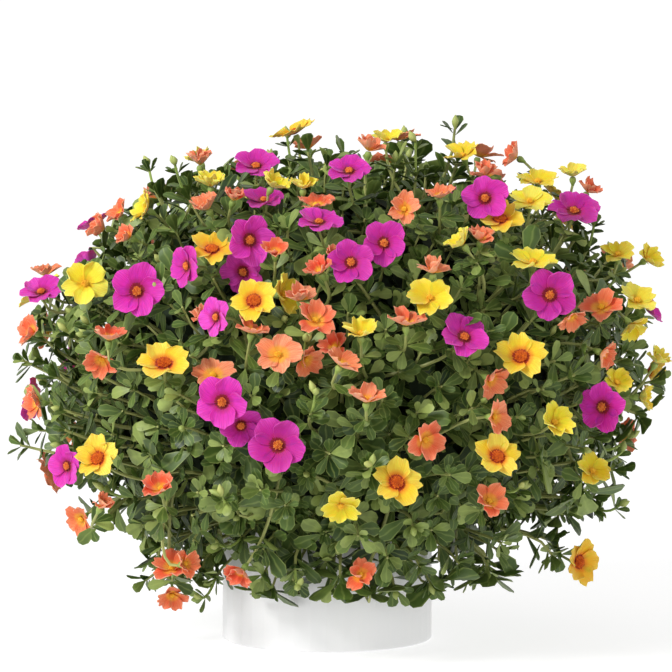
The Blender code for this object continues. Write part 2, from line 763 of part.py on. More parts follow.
class Whorl:
    """Five leaves round a twig: place, facing, turn, and for each leaf its length, lift and swing."""

    def __init__(self, place, facing, turn, leaves):
        self.place = place
        self.facing = facing
        self.turn = turn
        self.leaves = leaves

    def rim(self, shape, ease=0.0):
        """The edge of the five spoon-shaped leaves."""
        frame = axes(self.facing, self.turn)
        found = []
        for number, (length, lift, swing) in enumerate(self.leaves):
            for offset, share in LEAF_OUTLINE:
                bend = swing if share > 0.5 else 0
                angle = math.radians(number * 360 / WHORL_LEAVES + offset + bend)
                out = share * length + ease
                level = out * math.cos(lift)
                local = Vector((level * math.cos(angle), level * math.sin(angle), out * math.sin(lift)))
                found.append(shape.verts.new(self.place + frame @ local))
        return found

    def grow(self, shape, low, high, ease=0.0):
        """The leaves as one thin body round a twig's ring below and ring above, or closed on top."""
        rim = self.rim(shape, ease)
        loft(shape, low, rim, self.place, self.facing)
        if high:
            loft(shape, high, rim, self.place, self.facing)
        else:
            fan(shape, rim, self.place + self.facing * (LEAF_HALF + ease))

    def trial(self, along, at_tip):
        """The whorl alone on a short piece of twig, a little larger all round, to test its place."""
        shape = bmesh.new()
        half = along * (LEAF_HALF + EASE)
        low, high = path_rings(shape, [self.place - half, self.place + half], [TWIG_RADII[1] + EASE] * 2)
        shape.faces.new(low)
        if at_tip:
            bmesh.ops.delete(shape, geom=high, context="VERTS")
            high = None
        else:
            shape.faces.new(high)
        self.grow(shape, low, high, EASE)
        return shape


def crosses_itself(shape):
    """Whether any two faces of a shape that share no corner cut each other."""
    bmesh.ops.triangulate(shape, faces=shape.faces)
    shape.faces.ensure_lookup_table()
    tree = BVHTree.FromBMesh(shape)
    for first, second in tree.overlap(tree):
        if first < second and not set(shape.faces[first].verts) & set(shape.faces[second].verts):
            return True
    return False


def clear_whorl(place, along, seed, thicket, length, at_tip, own=None):
    """A whorl at a place on a twig: the first try that is sound and clear of all that stands, or None."""
    for attempt in range(WHORL_TRIES):
        draw = random.Random(1000 * seed + attempt)
        tilt = Vector((draw.uniform(-1, 1), draw.uniform(-1, 1), draw.uniform(-1, 1)))
        tilt = tilt * (WHORL_TILT_TIP if at_tip else WHORL_TILT_MIDDLE)
        size = length * (1 - WHORL_SHRINK * attempt)
        leaves = []
        for _ in range(WHORL_LEAVES):
            leaves.append((size * draw.uniform(*LEAF_LENGTH_SHARE), math.radians(draw.uniform(*LEAF_LIFT)),
                           draw.uniform(*LEAF_SWING)))
        found = Whorl(place, (along + tilt).normalized(), draw.uniform(0, math.tau), leaves)
        trial = found.trial(along, at_tip)
        sound = not crosses_itself(trial) and not thicket.touched(trial, own)
        if sound:
            thicket.add(trial, ("whorl", seed))
        trial.free()
        if sound:
            return found
    return None


def twig_shape(root, end, low_whorl, top_whorl):
    """A twig from its sunk root to its tip, with a whorl round its middle and one at its end."""
    shape = bmesh.new()
    half = (end - root).normalized() * LEAF_HALF
    path = [root, end - half]
    if low_whorl:
        path[1:1] = [low_whorl.place - half, low_whorl.place + half]
    radii = [TWIG_RADII[0]] * (len(path) - 1) + [TWIG_RADII[1]]
    rings = path_rings(shape, path, radii)
    shape.faces.new(rings[0])
    sleeve(shape, rings[0], rings[1])
    if low_whorl:
        low_whorl.grow(shape, rings[1], rings[2])
        sleeve(shape, rings[2], rings[3])
    top_whorl.grow(shape, rings[-1], None)
    bmesh.ops.recalc_face_normals(shape, faces=shape.faces)
    return shape


def twig_ends(draw):
    """Where twigs end and which way each comes from: a ring that hangs over the pot, then the shell."""
    for number in range(SKIRT_TWIGS):
        around = number * math.tau / SKIRT_TWIGS + draw.uniform(-SKIRT_WANDER, SKIRT_WANDER)
        outward = Vector((math.cos(around), math.sin(around) * CORE_DEPTH_SHARE, 0))
        end = outward * draw.uniform(*SKIRT_RADIUS)
        end += Vector((CORE_CENTRE_X, 0, draw.uniform(*SKIRT_HEIGHT)))
        yield end, (Vector((0, 0, 1)) - outward * SKIRT_LEAN).normalized()
    for number in range(TWIGS):
        end = on_shell(LEAF_SHELL, number, TWIGS, TWIG_LOWEST, draw.uniform(*TWIG_REACH))
        yield end, -(shell_normal(end) - Vector((0, 0, TWIG_RISE))).normalized()


def grow_twig(number, tip, way, core, thicket, draw):
    """One twig with a whorl at its end: the wedge that it grows on and its shape, or None."""
    length = draw.uniform(*LEAF_LENGTH)
    low_share = draw.uniform(*LOW_WHORL_SHARE)
    for attempt in range(TWIG_TRIES):
        jitter = Vector((draw.uniform(-1, 1), draw.uniform(-1, 1), draw.uniform(-1, 1)))
        end = tip + jitter * TWIG_STEP_ASIDE * attempt + way * (attempt % 4) * TWIG_STEP_IN
        found = core.hit(end, way)
        if not found:
            continue
        place, _, wedge = found
        root = place + way * TWIG_SUNK
        twig = stem([root, end], *TWIG_RADII)
        if thicket.touched(twig, f"wedge_{wedge}"):
            continue
        top = clear_whorl(end, -way, number * TWIG_TRIES + attempt, thicket, length, True)
        if not top:
            continue
        thicket.add(twig, number)
        low = None
        if number % LOW_WHORL_EVERY == 0 and (end - place).length > LOW_WHORL_ROOM:
            middle = place.lerp(end, low_share)
            low = clear_whorl(middle, -way, -number, thicket, LEAF_LENGTH[1], False, number)
        return wedge, twig_shape(root, end, low, top)
    return None


def grow_twigs(core, thicket):
    """Leafy twigs spread over the mound: the list of shapes for each wedge."""
    draw = random.Random(7)
    grown = [[] for _ in range(BRANCHES)]
    for number, (tip, way) in enumerate(twig_ends(draw)):
        found = grow_twig(number, tip, way, core, thicket, draw)
        if found:
            wedge, shape = found
            grown[wedge].append(shape)
    return grown


def make_pot(plant):
    """The pot: a plain open cylinder with a floor and eased edges."""
    inner = POT_RADIUS - POT_WALL
    profile = (
        (0, POT_FLOOR), (inner, POT_FLOOR), (inner, POT_HEIGHT - POT_EDGE), (inner + POT_EDGE, POT_HEIGHT),
        (POT_RADIUS - POT_EDGE, POT_HEIGHT), (POT_RADIUS, POT_HEIGHT - POT_EDGE), (POT_RADIUS, POT_EDGE),
        (POT_RADIUS - POT_EDGE, 0), (0, 0))
    return turned("pot", profile, plant, "white_pot")


def make_soil(plant, cutters):
    """The soil that fills the pot, with a plain hole for each branch's stem."""
    radius = POT_RADIUS - POT_WALL - GAP
    low = POT_FLOOR + GAP
    soil = turned("soil", ((0, SOIL_TOP), (radius, SOIL_TOP), (radius, low), (0, low)), plant, "soil")
    for number in range(BRANCHES):
        wider = STEM_RADIUS + GAP / math.cos(math.pi / STEM_SIDES)
        hole = root_stem(number, wider, SOIL_TOP - STEM_DEPTH - GAP, SOIL_TOP + STEM_SUNK)
        cutter = new_object(f"cutter_{number + 1:02d}", hole, cutters, ["soil"])
        cutter.hide_render = True
        cutter.display_type = "WIRE"
        cut = soil.modifiers.new(f"hole_{number + 1:02d}", "BOOLEAN")
        cut.operation = "DIFFERENCE"
        cut.object = cutter
    return soil


def note_standing(thing, thicket):
    """Note an object as standing in the thicket."""
    shape = bmesh.new()
    shape.from_object(thing, bpy.context.evaluated_depsgraph_get())
    thicket.add(shape, thing.name)
    shape.free()


def fork_sprays(blooms, core, thicket):
    """The blooms in sprays with their stalks' paths; a spray that finds no room is halved."""
    draw = random.Random(5)
    waiting = split_sprays(blooms)
    sprays = []
    while waiting:
        spray = waiting.pop(0)
        paths = clear_fork(spray, core, thicket, draw)
        if paths:
            sprays.append((spray, paths))
        elif len(spray) > 1:
            spray.sort(key=lambda bloom: bloom.seat.x)
            waiting += [spray[:len(spray) // 2], spray[len(spray) // 2:]]
    return sprays


def make_spray(number, spray, paths, plant):
    """A spray: a few neighbouring blooms fused on one forked stalk."""
    shapes = [on_stalk(bloom, path) for bloom, path in zip(spray, paths)]
    body = new_object(f"spray_{number:02d}", shapes[0], plant, SPRAY_COLOURS)
    if len(shapes) > 1:
        fuse(body, shapes[1:])


def make_branch(number, wedge, twigs, plant):
    """A branch: its wedge of the core, its stem down into the soil and its leafy twigs, fused."""
    body = new_object(f"branch_{number + 1:02d}", wedge, plant, ["leaf"])
    underside = CORE_UNDERSIDE_MM[-1][1] * MM
    fuse(body, [root_stem(number, STEM_RADIUS, SOIL_TOP - STEM_DEPTH, underside + STEM_SUNK)] + twigs)


def main():
    clear_scene()
    plant = new_collection("portulaca")
    cutters = new_collection("cutters")
    thicket = Thicket()
    pot = make_pot(plant)
    soil = make_soil(plant, cutters)
    wedges = [core_wedge(number) for number in range(BRANCHES)]
    core = Core(wedges)
    for number, wedge in enumerate(wedges):
        thicket.add(wedge, f"wedge_{number}")
    note_standing(pot, thicket)
    note_standing(soil, thicket)
    blooms = settle_blooms(blooms_in_sight() + blooms_far_side(), thicket)
    sprays = fork_sprays(blooms, core, thicket)
    grown = grow_twigs(core, thicket)
    for number, (spray, paths) in enumerate(sprays):
        make_spray(number + 1, spray, paths, plant)
    for number, wedge in enumerate(wedges):
        make_branch(number, wedge, grown[number], plant)


main()
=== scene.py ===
# %% [markdown]
# # A portulaca in full bloom
#
# The plant is a wide mound of fleshy leaves over a plain white pot, with some hundred and fifty blooms in
# four kinds of colour. Modelling each leaf by hand would take weeks, so this lesson grows them by rule:
# every leaf, petal and stem is a small surface worked out as whole numpy arrays, and repeated with seeded
# draws. The construction model says where the blooms and the larger leaf whorls are, and each finer shape
# is grown on those places, so nothing has to be fitted by eye.

import math

import bmesh
import bpy
import numpy as np
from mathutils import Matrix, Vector


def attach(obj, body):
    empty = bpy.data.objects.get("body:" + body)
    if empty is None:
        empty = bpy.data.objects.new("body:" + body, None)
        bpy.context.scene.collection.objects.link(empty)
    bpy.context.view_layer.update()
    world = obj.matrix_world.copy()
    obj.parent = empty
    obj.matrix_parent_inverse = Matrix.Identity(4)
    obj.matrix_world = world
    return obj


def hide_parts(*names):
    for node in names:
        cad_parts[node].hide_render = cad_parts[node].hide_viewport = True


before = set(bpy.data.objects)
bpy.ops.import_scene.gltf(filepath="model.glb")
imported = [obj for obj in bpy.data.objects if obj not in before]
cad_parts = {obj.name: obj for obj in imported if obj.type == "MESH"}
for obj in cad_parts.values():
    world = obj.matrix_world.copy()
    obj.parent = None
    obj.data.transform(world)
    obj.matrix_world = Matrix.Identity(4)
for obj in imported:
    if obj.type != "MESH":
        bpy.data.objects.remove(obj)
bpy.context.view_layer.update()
MM = 0.001

# %% [markdown]
# ## Short helpers
#
# A few steps come back all through the lesson: making a vector one long, going round an axis, joining
# rings of corners by faces, and setting the inputs of a shader's node. They are written once, here.

# %% Helpers
def unit(vectors):
    """Each vector divided by its own length."""
    return vectors / np.linalg.norm(vectors, axis=-1, keepdims=True)


def swing(first, second, angle):
    """Ways round an axis: the first side way times the angle's cosine plus the second times its sine."""
    return first * np.cos(angle)[..., None] + second * np.sin(angle)[..., None]


def ball_ways(around, height):
    """Ways out of a ball's middle by bearing and height, whose level part is the square root of one minus
    the height squared."""
    level = np.sqrt(1 - height**2)
    return np.stack((level * np.cos(around), level * np.sin(around), height), axis=1)


def ring_quads(rings, sides):
    """Four-cornered faces between closed rings of corners, numbered ring times sides plus side."""
    ring, side = np.meshgrid(np.arange(rings - 1), np.arange(sides), indexing="ij")
    here = ring * sides + side
    after = ring * sides + (side + 1) % sides
    return np.stack((here, after, after + sides, here + sides), axis=-1).reshape(-1, 4)


def set_inputs(node, **values):
    """Set a shader node's inputs by name, with _ for each space in it."""
    for name, value in values.items():
        node.inputs[name.replace("_", " ")].default_value = value


def show(name, data):
    """A new object for a mesh, a light or a camera, linked to the scene."""
    thing = bpy.data.objects.new(name, data)
    bpy.context.scene.collection.objects.link(thing)
    return thing


print("two rings of six corners are joined by", len(ring_quads(2, 6)), "faces")

# %% [markdown]
# ## The camera
#
# The photograph was taken from almost level, a little above the pot, with a long lens that keeps the
# near and far blooms about the same size. A camera three metres away with a 225 mm lens sees a frame
# 480 mm wide at the plant, which is the scale of the photograph. The same line of sight later tells
# which bloom of the model is which bloom of the photograph.

# %% Camera
PICTURE_CENTRE = 336
PICTURE_SCALE = 480 / 672 * MM
VIEW_TARGET = np.array((6.4, 0, 217)) * MM
VIEW_DISTANCE = 3.0
VIEW_TILT = math.radians(4.5)
TO_RIGHT = np.array((1.0, 0.0, 0.0))
TO_VIEWER = np.array((0.0, -math.cos(VIEW_TILT), math.sin(VIEW_TILT)))
TO_TOP = np.array((0.0, math.sin(VIEW_TILT), math.cos(VIEW_TILT)))
UP = np.array((0.0, 0.0, 1.0))

camera_data = bpy.data.cameras.new("camera")
camera_data.lens = 225
camera_data.sensor_width = 36
camera_data.clip_end = 60
camera = show("camera", camera_data)
camera.location = VIEW_TARGET + TO_VIEWER * VIEW_DISTANCE
camera.rotation_euler = (math.pi / 2 - VIEW_TILT, 0, 0)
bpy.context.scene.camera = camera


def picture_place(point):
    """Column and row where a point shows: its sideways and upward distance over its depth, times scale."""
    offset = np.asarray(point) - VIEW_TARGET
    depth = VIEW_DISTANCE - offset @ TO_VIEWER
    zoom = VIEW_DISTANCE / depth / PICTURE_SCALE
    return PICTURE_CENTRE + offset @ TO_RIGHT * zoom, PICTURE_CENTRE - offset @ TO_TOP * zoom


print("the pot's foot shows at row", round(picture_place((0, -75 * MM, 0))[1]))

# %% [markdown]
# ## Light and floor
#
# The picture has the even, shadowless light of a catalogue: white all round, and a soft light from the
# upper left that gives the petals a little shape. A pale floor runs out and curves up into a wall all
# round, so that no horizon shows from any side. It glows a little, to be as white as the photograph's
# background, but isn't sampled as a light, which would add grain. The standard view transform keeps the
# magenta and the yellow as strong as they are on the plant.

# %% Light and floor
bpy.context.scene.view_settings.view_transform = "Standard"
world = bpy.data.worlds.new("studio")
bpy.context.scene.world = world
world.use_nodes = True
set_inputs(world.node_tree.nodes["Background"], Color=(1, 1, 1, 1), Strength=0.54)


def soft_light(name, place, target, size, watts):
    """A square area light at a place, turned so that its face looks at the target."""
    data = bpy.data.lights.new(name, "AREA")
    data.shape = "SQUARE"
    data.size = size
    data.energy = watts
    light = show(name, data)
    light.location = place
    light.rotation_euler = (light.location - Vector(target)).to_track_quat("Z", "Y").to_euler()


soft_light("key", place=(-1.4, -1.3, 1.5), target=(0, 0, 0.2), size=0.6, watts=42)

FLOOR_INNER_RINGS = (0.5, 2.0, 4.0)
FLOOR_FLAT = 8.0
FLOOR_RISE = 2.0
FLOOR_TOP = 5.0
FLOOR_SIDES = 96


def floor_sheet():
    """A bowl turned round the plant: flat, then a quarter circle, then straight up, so that it closes the
    view on every side."""
    bend = np.linspace(0, math.pi / 2, 13)
    wall = FLOOR_FLAT + FLOOR_RISE
    away = np.concatenate((FLOOR_INNER_RINGS, FLOOR_FLAT + FLOOR_RISE * np.sin(bend), (wall,)))
    level = np.zeros(len(FLOOR_INNER_RINGS))
    height = np.concatenate((level, FLOOR_RISE * (1 - np.cos(bend)), (FLOOR_TOP,)))
    around = np.arange(FLOOR_SIDES) * math.tau / FLOOR_SIDES
    places = np.stack((away[:, None] * np.cos(around), away[:, None] * np.sin(around),
                       height[:, None] + 0 * around), axis=-1).reshape(-1, 3)
    faces = ring_quads(len(away), FLOOR_SIDES)[:, (0, 3, 2, 1)]
    mesh = bpy.data.meshes.new("floor")
    mesh.from_pydata(places.tolist(), [], faces.tolist() + [list(range(FLOOR_SIDES))])
    mesh.shade_smooth()
    return show("floor", mesh)


floor = floor_sheet()
paint = bpy.data.materials.new("pale_floor")
paint.use_nodes = True
set_inputs(paint.node_tree.nodes["Principled BSDF"], Base_Color=(0.36, 0.36, 0.36, 1), Roughness=0.9,
           Emission_Color=(1, 1, 1, 1), Emission_Strength=0.74)
paint.cycles.emission_sampling = "NONE"
floor.data.materials.append(paint)
print("floor of", len(floor.data.polygons), "faces")

# %% [markdown]
# ## Finding the blooms in the model
#
# In the construction model a bloom is fifteen triangles that meet at the middle of its cup, with a notch
# and two corners for each of five petals. No other corner of a spray has fifteen triangles, so counting
# them finds every bloom. The fifteen rim points stand evenly round the axis: their mean lies on it, which
# gives the way that the bloom faces, and the furthest of them give its petals' length and spread.

# %% Read a node's corners and find its fans
CUP_FLOOR = 1.2 * MM
BLOOM_RIM = 15
WHORL_RIM = 20


def merged_mesh(node):
    """A node's corner places with equal ones merged, and its triangles as indices into them."""
    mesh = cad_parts[node].data
    places = np.empty(len(mesh.vertices) * 3, np.float32)
    mesh.vertices.foreach_get("co", places)
    mesh.calc_loop_triangles()
    triangles = np.empty(len(mesh.loop_triangles) * 3, np.int32)
    mesh.loop_triangles.foreach_get("vertices", triangles)
    merged, index = np.unique(np.round(places.reshape(-1, 3), 6), axis=0, return_inverse=True)
    return merged.astype(float), index.reshape(-1)[triangles].reshape(-1, 3)


def fans(node, size):
    """Every point where that many triangles meet, each with the rim of points round it."""
    places, triangles = merged_mesh(node)
    found = []
    for tip in np.flatnonzero(np.bincount(triangles.ravel()) == size):
        rim = np.setdiff1d(triangles[(triangles == tip).any(axis=1)], tip)
        if len(rim) == size:
            found.append((places[tip], places[rim]))
    return found


def foot_of(node, centre):
    """The corner of a node that lies nearest to a point, where a spray leaves its branch."""
    places, _ = merged_mesh(node)
    return places[np.argmin(np.linalg.norm(places - centre, axis=1))]


SPRAYS = sorted(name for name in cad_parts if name.startswith("spray"))
BRANCHES = sorted(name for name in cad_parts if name.startswith("branch"))
print(len(SPRAYS), "sprays hold", sum(len(fans(name, BLOOM_RIM)) for name in SPRAYS), "blooms")

# %% [markdown]
# ## Which bloom has which colour
#
# The model's blooms carry no colour here, but each stands on the line of sight of its picture place. The
# places of the blooms in the photograph, by colour, are matched to the nearest bloom. What no place
# matches is on the far side, and gets its colour by turns.

# %% Colours of the blooms
IN_SIGHT = {
    "magenta": (
        (137, 291), (250, 240), (222, 402), (278, 445), (550, 295), (465, 336), (351, 262), (485, 198),
        (574, 210), (602, 407), (256, 165), (349, 170), (319, 221), (41, 291), (185, 266), (215, 317),
        (384, 243), (243, 272), (241, 426), (66, 466), (264, 199),
    ),
    "eyed": (
        (254, 300), (164, 362), (97, 458), (521, 356), (498, 456), (397, 482), (580, 562), (212, 248),
        (500, 218),
    ),
    "yellow": (
        (85, 283), (430, 297), (341, 507), (556, 421), (361, 330), (593, 470), (533, 261), (638, 299),
        (530, 200), (386, 137), (462, 152), (143, 207), (211, 180), (275, 182), (459, 240), (618, 252),
        (650, 258), (659, 358), (285, 294), (538, 180), (573, 172), (303, 183), (632, 328), (645, 397),
        (618, 381),
    ),
    "orange": (
        (316, 318), (278, 354), (343, 361), (366, 396), (427, 440), (490, 500), (493, 381), (497, 417),
        (361, 574), (160, 485), (172, 566), (172, 597), (404, 208), (406, 320), (601, 306), (80, 520),
        (110, 334), (101, 361), (35, 403), (30, 331), (316, 203), (200, 158), (370, 144), (513, 155),
        (118, 212), (98, 227), (44, 270), (205, 204), (300, 295), (318, 268), (433, 267), (480, 234),
        (440, 192), (484, 171), (606, 356), (240, 573), (200, 313), (590, 188), (252, 328), (334, 345),
        (308, 360), (213, 374), (235, 195), (335, 258), (275, 250), (573, 319), (125, 236), (103, 503),
        (187, 563),
    ),
}
MATCH_PIXELS = 5
SIGHT_DEPTH = 20 * MM
CORNER_REACH = 0.85
FAR_TURNS = ("magenta", "yellow", "orange", "eyed", "orange", "magenta", "orange", "yellow")
PLACES = np.array([place for places in IN_SIGHT.values() for place in places], float)
PLACE_COLOURS = [colour for colour, places in IN_SIGHT.items() for _ in places]


class Bloom:
    """A bloom's middle, axis, petal length, spread and turn, read from its fan, and its colour."""

    def __init__(self, tip, rim):
        self.facing = unit(rim.mean(axis=0) - tip)
        self.base = tip - self.facing * CUP_FLOOR
        spokes = rim - self.base
        reach = np.linalg.norm(spokes, axis=1)
        self.petal = reach.max()
        corners = spokes[reach > CORNER_REACH * self.petal]
        notches = spokes[reach <= CORNER_REACH * self.petal]
        self.spread = math.acos(np.clip((unit(corners) @ self.facing).mean(), -1, 1))
        aside = notches[0] - self.facing * (notches[0] @ self.facing)
        self.right = unit(aside)
        self.left = np.cross(self.facing, self.right)
        self.seat = self.base + self.facing * self.petal * math.cos(self.spread) / 2
        column, row = picture_place(self.seat)
        distance = np.hypot(PLACES[:, 0] - column, PLACES[:, 1] - row)
        nearest = int(distance.argmin())
        self.in_sight = distance[nearest] < MATCH_PIXELS and self.seat[1] < SIGHT_DEPTH
        self.colour = PLACE_COLOURS[nearest] if self.in_sight else None


BLOOMS = {name: [Bloom(tip, rim) for tip, rim in fans(name, BLOOM_RIM)] for name in SPRAYS}
far = [bloom for name in SPRAYS for bloom in BLOOMS[name] if not bloom.colour]
for number, bloom in enumerate(far):
    bloom.colour = FAR_TURNS[number % len(FAR_TURNS)]
ALL_BLOOMS = [bloom for name in SPRAYS for bloom in BLOOMS[name]]
print(len(ALL_BLOOMS) - len(far), "blooms in sight,", len(far), "on the far side")

# %% [markdown]
# ## Collecting shapes into one mesh
#
# Thousands of leaves as single objects would be slow, so each branch and each spray becomes one mesh.
# A small collector gathers corner places and faces, and what the finishes need at each corner: how far
# along and across its leaf or petal it lies, kept as a UV map, a tint that tells one leaf from the next
# and on the shoots also paints shade, and whether it lies on a petal's under side.

# %% The collector
class Growth:
    """Gathers batches of corners and faces for one mesh."""

    def __init__(self):
        self.places = []
        self.sheet = []
        self.tint = []
        self.under = []
        self.faces = []
        self.finish = []
        self.count = 0

    def add(self, places, faces, finish, sheet, tint, under=0.0):
        """A batch: places (n, 3), face arrays, a finish name, sheet places (n, 2), tint and under side."""
        number = len(places)
        self.places.append(places)
        self.sheet.append(np.broadcast_to(sheet, (number, 2)))
        self.tint.append(np.broadcast_to(tint, (number,)))
        self.under.append(np.broadcast_to(under, (number,)))
        for face in faces:
            self.faces += (face + self.count).tolist()
            self.finish += [finish] * len(face)
        self.count += number

    def piece(self, name, finishes):
        """The mesh object: shaded smooth, sharp only at thin edges, with its UV map and values."""
        mesh = bpy.data.meshes.new(name)
        mesh.from_pydata(np.concatenate(self.places).tolist(), [], self.faces)
        used = sorted(set(self.finish))
        for finish in used:
            mesh.materials.append(finishes[finish])
        slots = np.array([used.index(finish) for finish in self.finish], np.int32)
        mesh.polygons.foreach_set("material_index", slots)
        corners = np.empty(len(mesh.loops), np.int32)
        mesh.loops.foreach_get("vertex_index", corners)
        sheet = mesh.uv_layers.new(name="sheet")
        sheet.data.foreach_set("uv", np.concatenate(self.sheet)[corners].astype(np.float32).ravel())
        for value, name_of_value in ((self.tint, "tint"), (self.under, "under")):
            layer = mesh.attributes.new(name_of_value, "FLOAT", "POINT")
            layer.data.foreach_set("value", np.concatenate(value).astype(np.float32))
        mesh.shade_smooth()
        mesh.set_sharp_from_angle(angle=math.radians(65))
        thing = show(name, mesh)
        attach(thing, "root")
        return thing


def batch_faces(faces, each, copies):
    """Faces of one shape repeated for many copies, each copy's corners following the last."""
    starts = np.arange(copies)[:, None, None] * each
    return (faces[None] + starts).reshape(-1, faces.shape[1])


print("the collector is ready")

# %% [markdown]
# ## A fleshy leaf
#
# A portulaca leaf is thick and smooth, narrow at its foot and broadest near its rounded end, like a
# spoon. A flat card would look like paper, so each leaf is a closed body: four rings of six corners
# along its length, with a point at each end, which is forty-eight triangles.

# %% Leaves
LEAF_RINGS = np.array((0.10, 0.42, 0.72, 0.93))
LEAF_WIDTHS = np.array((0.18, 0.66, 1.0, 0.66))
LEAF_SECTION = np.array(((-1, 0), (-0.45, 0.8), (0.45, 0.8), (1, 0), (0.45, -1), (-0.45, -1)), float)
LEAF_THICKNESS = 0.036
LEAF_CHANNEL = 0.22
CURL_SHORTENS = 0.25


def leaf_faces():
    """Quads between the rings, and triangles to the point at each end."""
    rings, sides = len(LEAF_RINGS), len(LEAF_SECTION)
    last = (rings - 1) * sides
    side = np.arange(sides)
    after = (side + 1) % sides
    foot = np.stack((after, side, np.full(sides, rings * sides)), axis=1)
    tip = np.stack((last + side, last + after, np.full(sides, rings * sides + 1)), axis=1)
    return ring_quads(rings, sides), np.concatenate((foot, tip))


LEAF_QUADS, LEAF_TRIANGLES = leaf_faces()


def leaves(growth, foot, way, upper, length, width, curl, tint, finish="leaf"):
    """Many leaves at once. A corner is foot + way * along + upper * rise + side * across: along is its
    share of the length; across is the section's side step times the ring's half width; rise is the
    section's thickness, plus a channel that lifts the edges, minus the curl times along squared."""
    number = len(foot)
    if number == 0:
        return
    side = unit(np.cross(way, upper))
    upper = np.cross(side, way)
    length = length[:, None, None]
    half = (width[:, None, None] / 2) * LEAF_WIDTHS[None, :, None]
    across = LEAF_SECTION[None, None, :, 0]
    along = LEAF_RINGS[None, :, None] + 0 * across
    thick = length * LEAF_THICKNESS * (0.5 + 0.5 * LEAF_WIDTHS[None, :, None])
    rise = LEAF_SECTION[None, None, :, 1] * thick + LEAF_CHANNEL * half * across**2
    rise = rise - curl[:, None, None] * length * along**2
    reach = length * along * (1 - CURL_SHORTENS * np.abs(curl[:, None, None]) * along**2)
    rings = (foot[:, None, None] + way[:, None, None] * reach[..., None]
             + upper[:, None, None] * rise[..., None] + side[:, None, None] * (half * across)[..., None])
    rings = rings.reshape(number, -1, 3)
    length = length[:, 0]
    curl = curl[:, None]
    tips = foot + way * length * (1 - CURL_SHORTENS * np.abs(curl)) - upper * curl * length
    places = np.concatenate((rings, foot[:, None], tips[:, None]), axis=1)
    each = places.shape[1]
    sheet = np.stack(np.broadcast_arrays(LEAF_RINGS[:, None], LEAF_SECTION[None, :, 0]), axis=-1)
    sheet = np.concatenate((sheet.reshape(-1, 2), ((0, 0), (1, 0))))
    growth.add(places.reshape(-1, 3),
               [batch_faces(LEAF_QUADS, each, number), batch_faces(LEAF_TRIANGLES, each, number)],
               finish, np.tile(sheet, (number, 1)), np.repeat(tint, each))


print("a leaf has", len(LEAF_QUADS) * 2 + len(LEAF_TRIANGLES), "triangles")

# %% [markdown]
# ## Stems
#
# Stems are round, juicy and a little crooked. A tube is a circle carried along a path. The circles'
# sideways axis is taken square to one fixed direction for each path, which is enough for short stems
# that never loop.

# %% Tubes along paths
def tubes(growth, paths, radii, finish, tint, sides=5):
    """Many tubes at once: at each path point a ring of corners, radius times cosine and sine along two
    axes square to the path; rings are joined by quads, and the ends are closed by one face each."""
    number, points = paths.shape[:2]
    if number == 0:
        return
    tangent = unit(np.gradient(paths, axis=1))
    chord = unit(paths[:, -1] - paths[:, 0])
    spare = unit(np.cross(chord, np.where(np.abs(chord[:, 2:]) < 0.9, UP, TO_RIGHT)))
    first = unit(np.cross(tangent, np.broadcast_to(spare[:, None], tangent.shape)))
    second = np.cross(tangent, first)
    angle = np.arange(sides) * math.tau / sides
    radii = np.broadcast_to(radii, (number, points))[:, :, None, None]
    ring = swing(first[:, :, None], second[:, :, None], angle)
    places = (paths[:, :, None] + ring * radii).reshape(-1, 3)
    low = np.arange(sides)[::-1][None]
    high = np.arange(sides)[None] + (points - 1) * sides
    each = points * sides
    faces = [batch_faces(part, each, number) for part in (ring_quads(points, sides), low, high)]
    along = np.repeat(np.linspace(0, 1, points), sides)
    sheet = np.stack((along, np.zeros_like(along)), axis=1)
    growth.add(places, faces, finish, np.tile(sheet, (number, 1)), np.repeat(tint, each))


CURVE_PULL = 0.4


def curves(start, start_way, end, end_way, points):
    """Smooth paths from start to end that leave and arrive along given ways: Bezier curves, whose four
    control points are weighted by the usual cubic shares of the step."""
    step = np.linspace(0, 1, points)[None, :, None]
    reach = np.linalg.norm(end - start, axis=1)[:, None] * CURVE_PULL
    handles = (start, start + start_way * reach, end - end_way * reach, end)
    shares = ((1 - step) ** 3, 3 * step * (1 - step) ** 2, 3 * step**2 * (1 - step), step**3)
    return sum(share * handle[:, None] for share, handle in zip(shares, handles))


print("tubes and curves are ready")

# %% [markdown]
# ## Petals
#
# Each bloom has five broad petals that nearly meet, with gaps that open towards the tips, a shallow
# notch and small teeth in the outer edge, and a thin rim that ripples. A petal is a grid of along and
# across. Along, it climbs from the cup to its spread; across, it is wrapped round the bloom's axis, so
# that a wide bloom lies nearly flat and a half-closed one makes a cup. A second layer just below closes
# it into a thin body. The more closed a bloom is, the more its petals are crumpled.

# %% Petals
PETAL_ALONG = 6
PETAL_ACROSS = 8
PETAL_THICKNESS = 0.35 * MM
PETALS = 5
OPEN_SPREAD = math.radians(66)
CRUMPLED_OPEN = 1.25
CRUMPLED_MORE = 2.2
FOOT_WIDTH = 0.15
SHOULDER = 0.76
TIP_TAPER = 0.08
NOTCH_WIDTH = 0.22
GAP_CURVE = 3.2
TEETH_WAVES = 7.5
RADIUS_BEND = 0.88
HEIGHT_BEND = 1.35
BELLY = 0.06
RIPPLE = 0.060
RIPPLE_WAVES = 4.6
FINE_RIPPLE = 0.030
FINE_WAVES = 9
PINWHEEL = 0.06
EDGE_LIFT = 0.10


class Habit:
    """How a kind's petals are cut: their breadth, the depth of the gaps between them, of the notch and of
    the teeth in the outer edge, and how far each petal leans out of line."""

    def __init__(self, broad, gap, notch, teeth, unruly):
        self.broad = broad
        self.gap = gap
        self.notch = notch
        self.teeth = teeth
        self.unruly = unruly


HABITS = {
    "magenta": Habit(0.61, 0.24, -0.03, 0.020, 0.06),
    "eyed": Habit(0.54, 0.30, 0.06, 0.055, 0.09),
    "yellow": Habit(0.51, 0.29, 0.11, 0.040, 0.11),
    "orange": Habit(0.49, 0.28, 0.06, 0.040, 0.17),
}


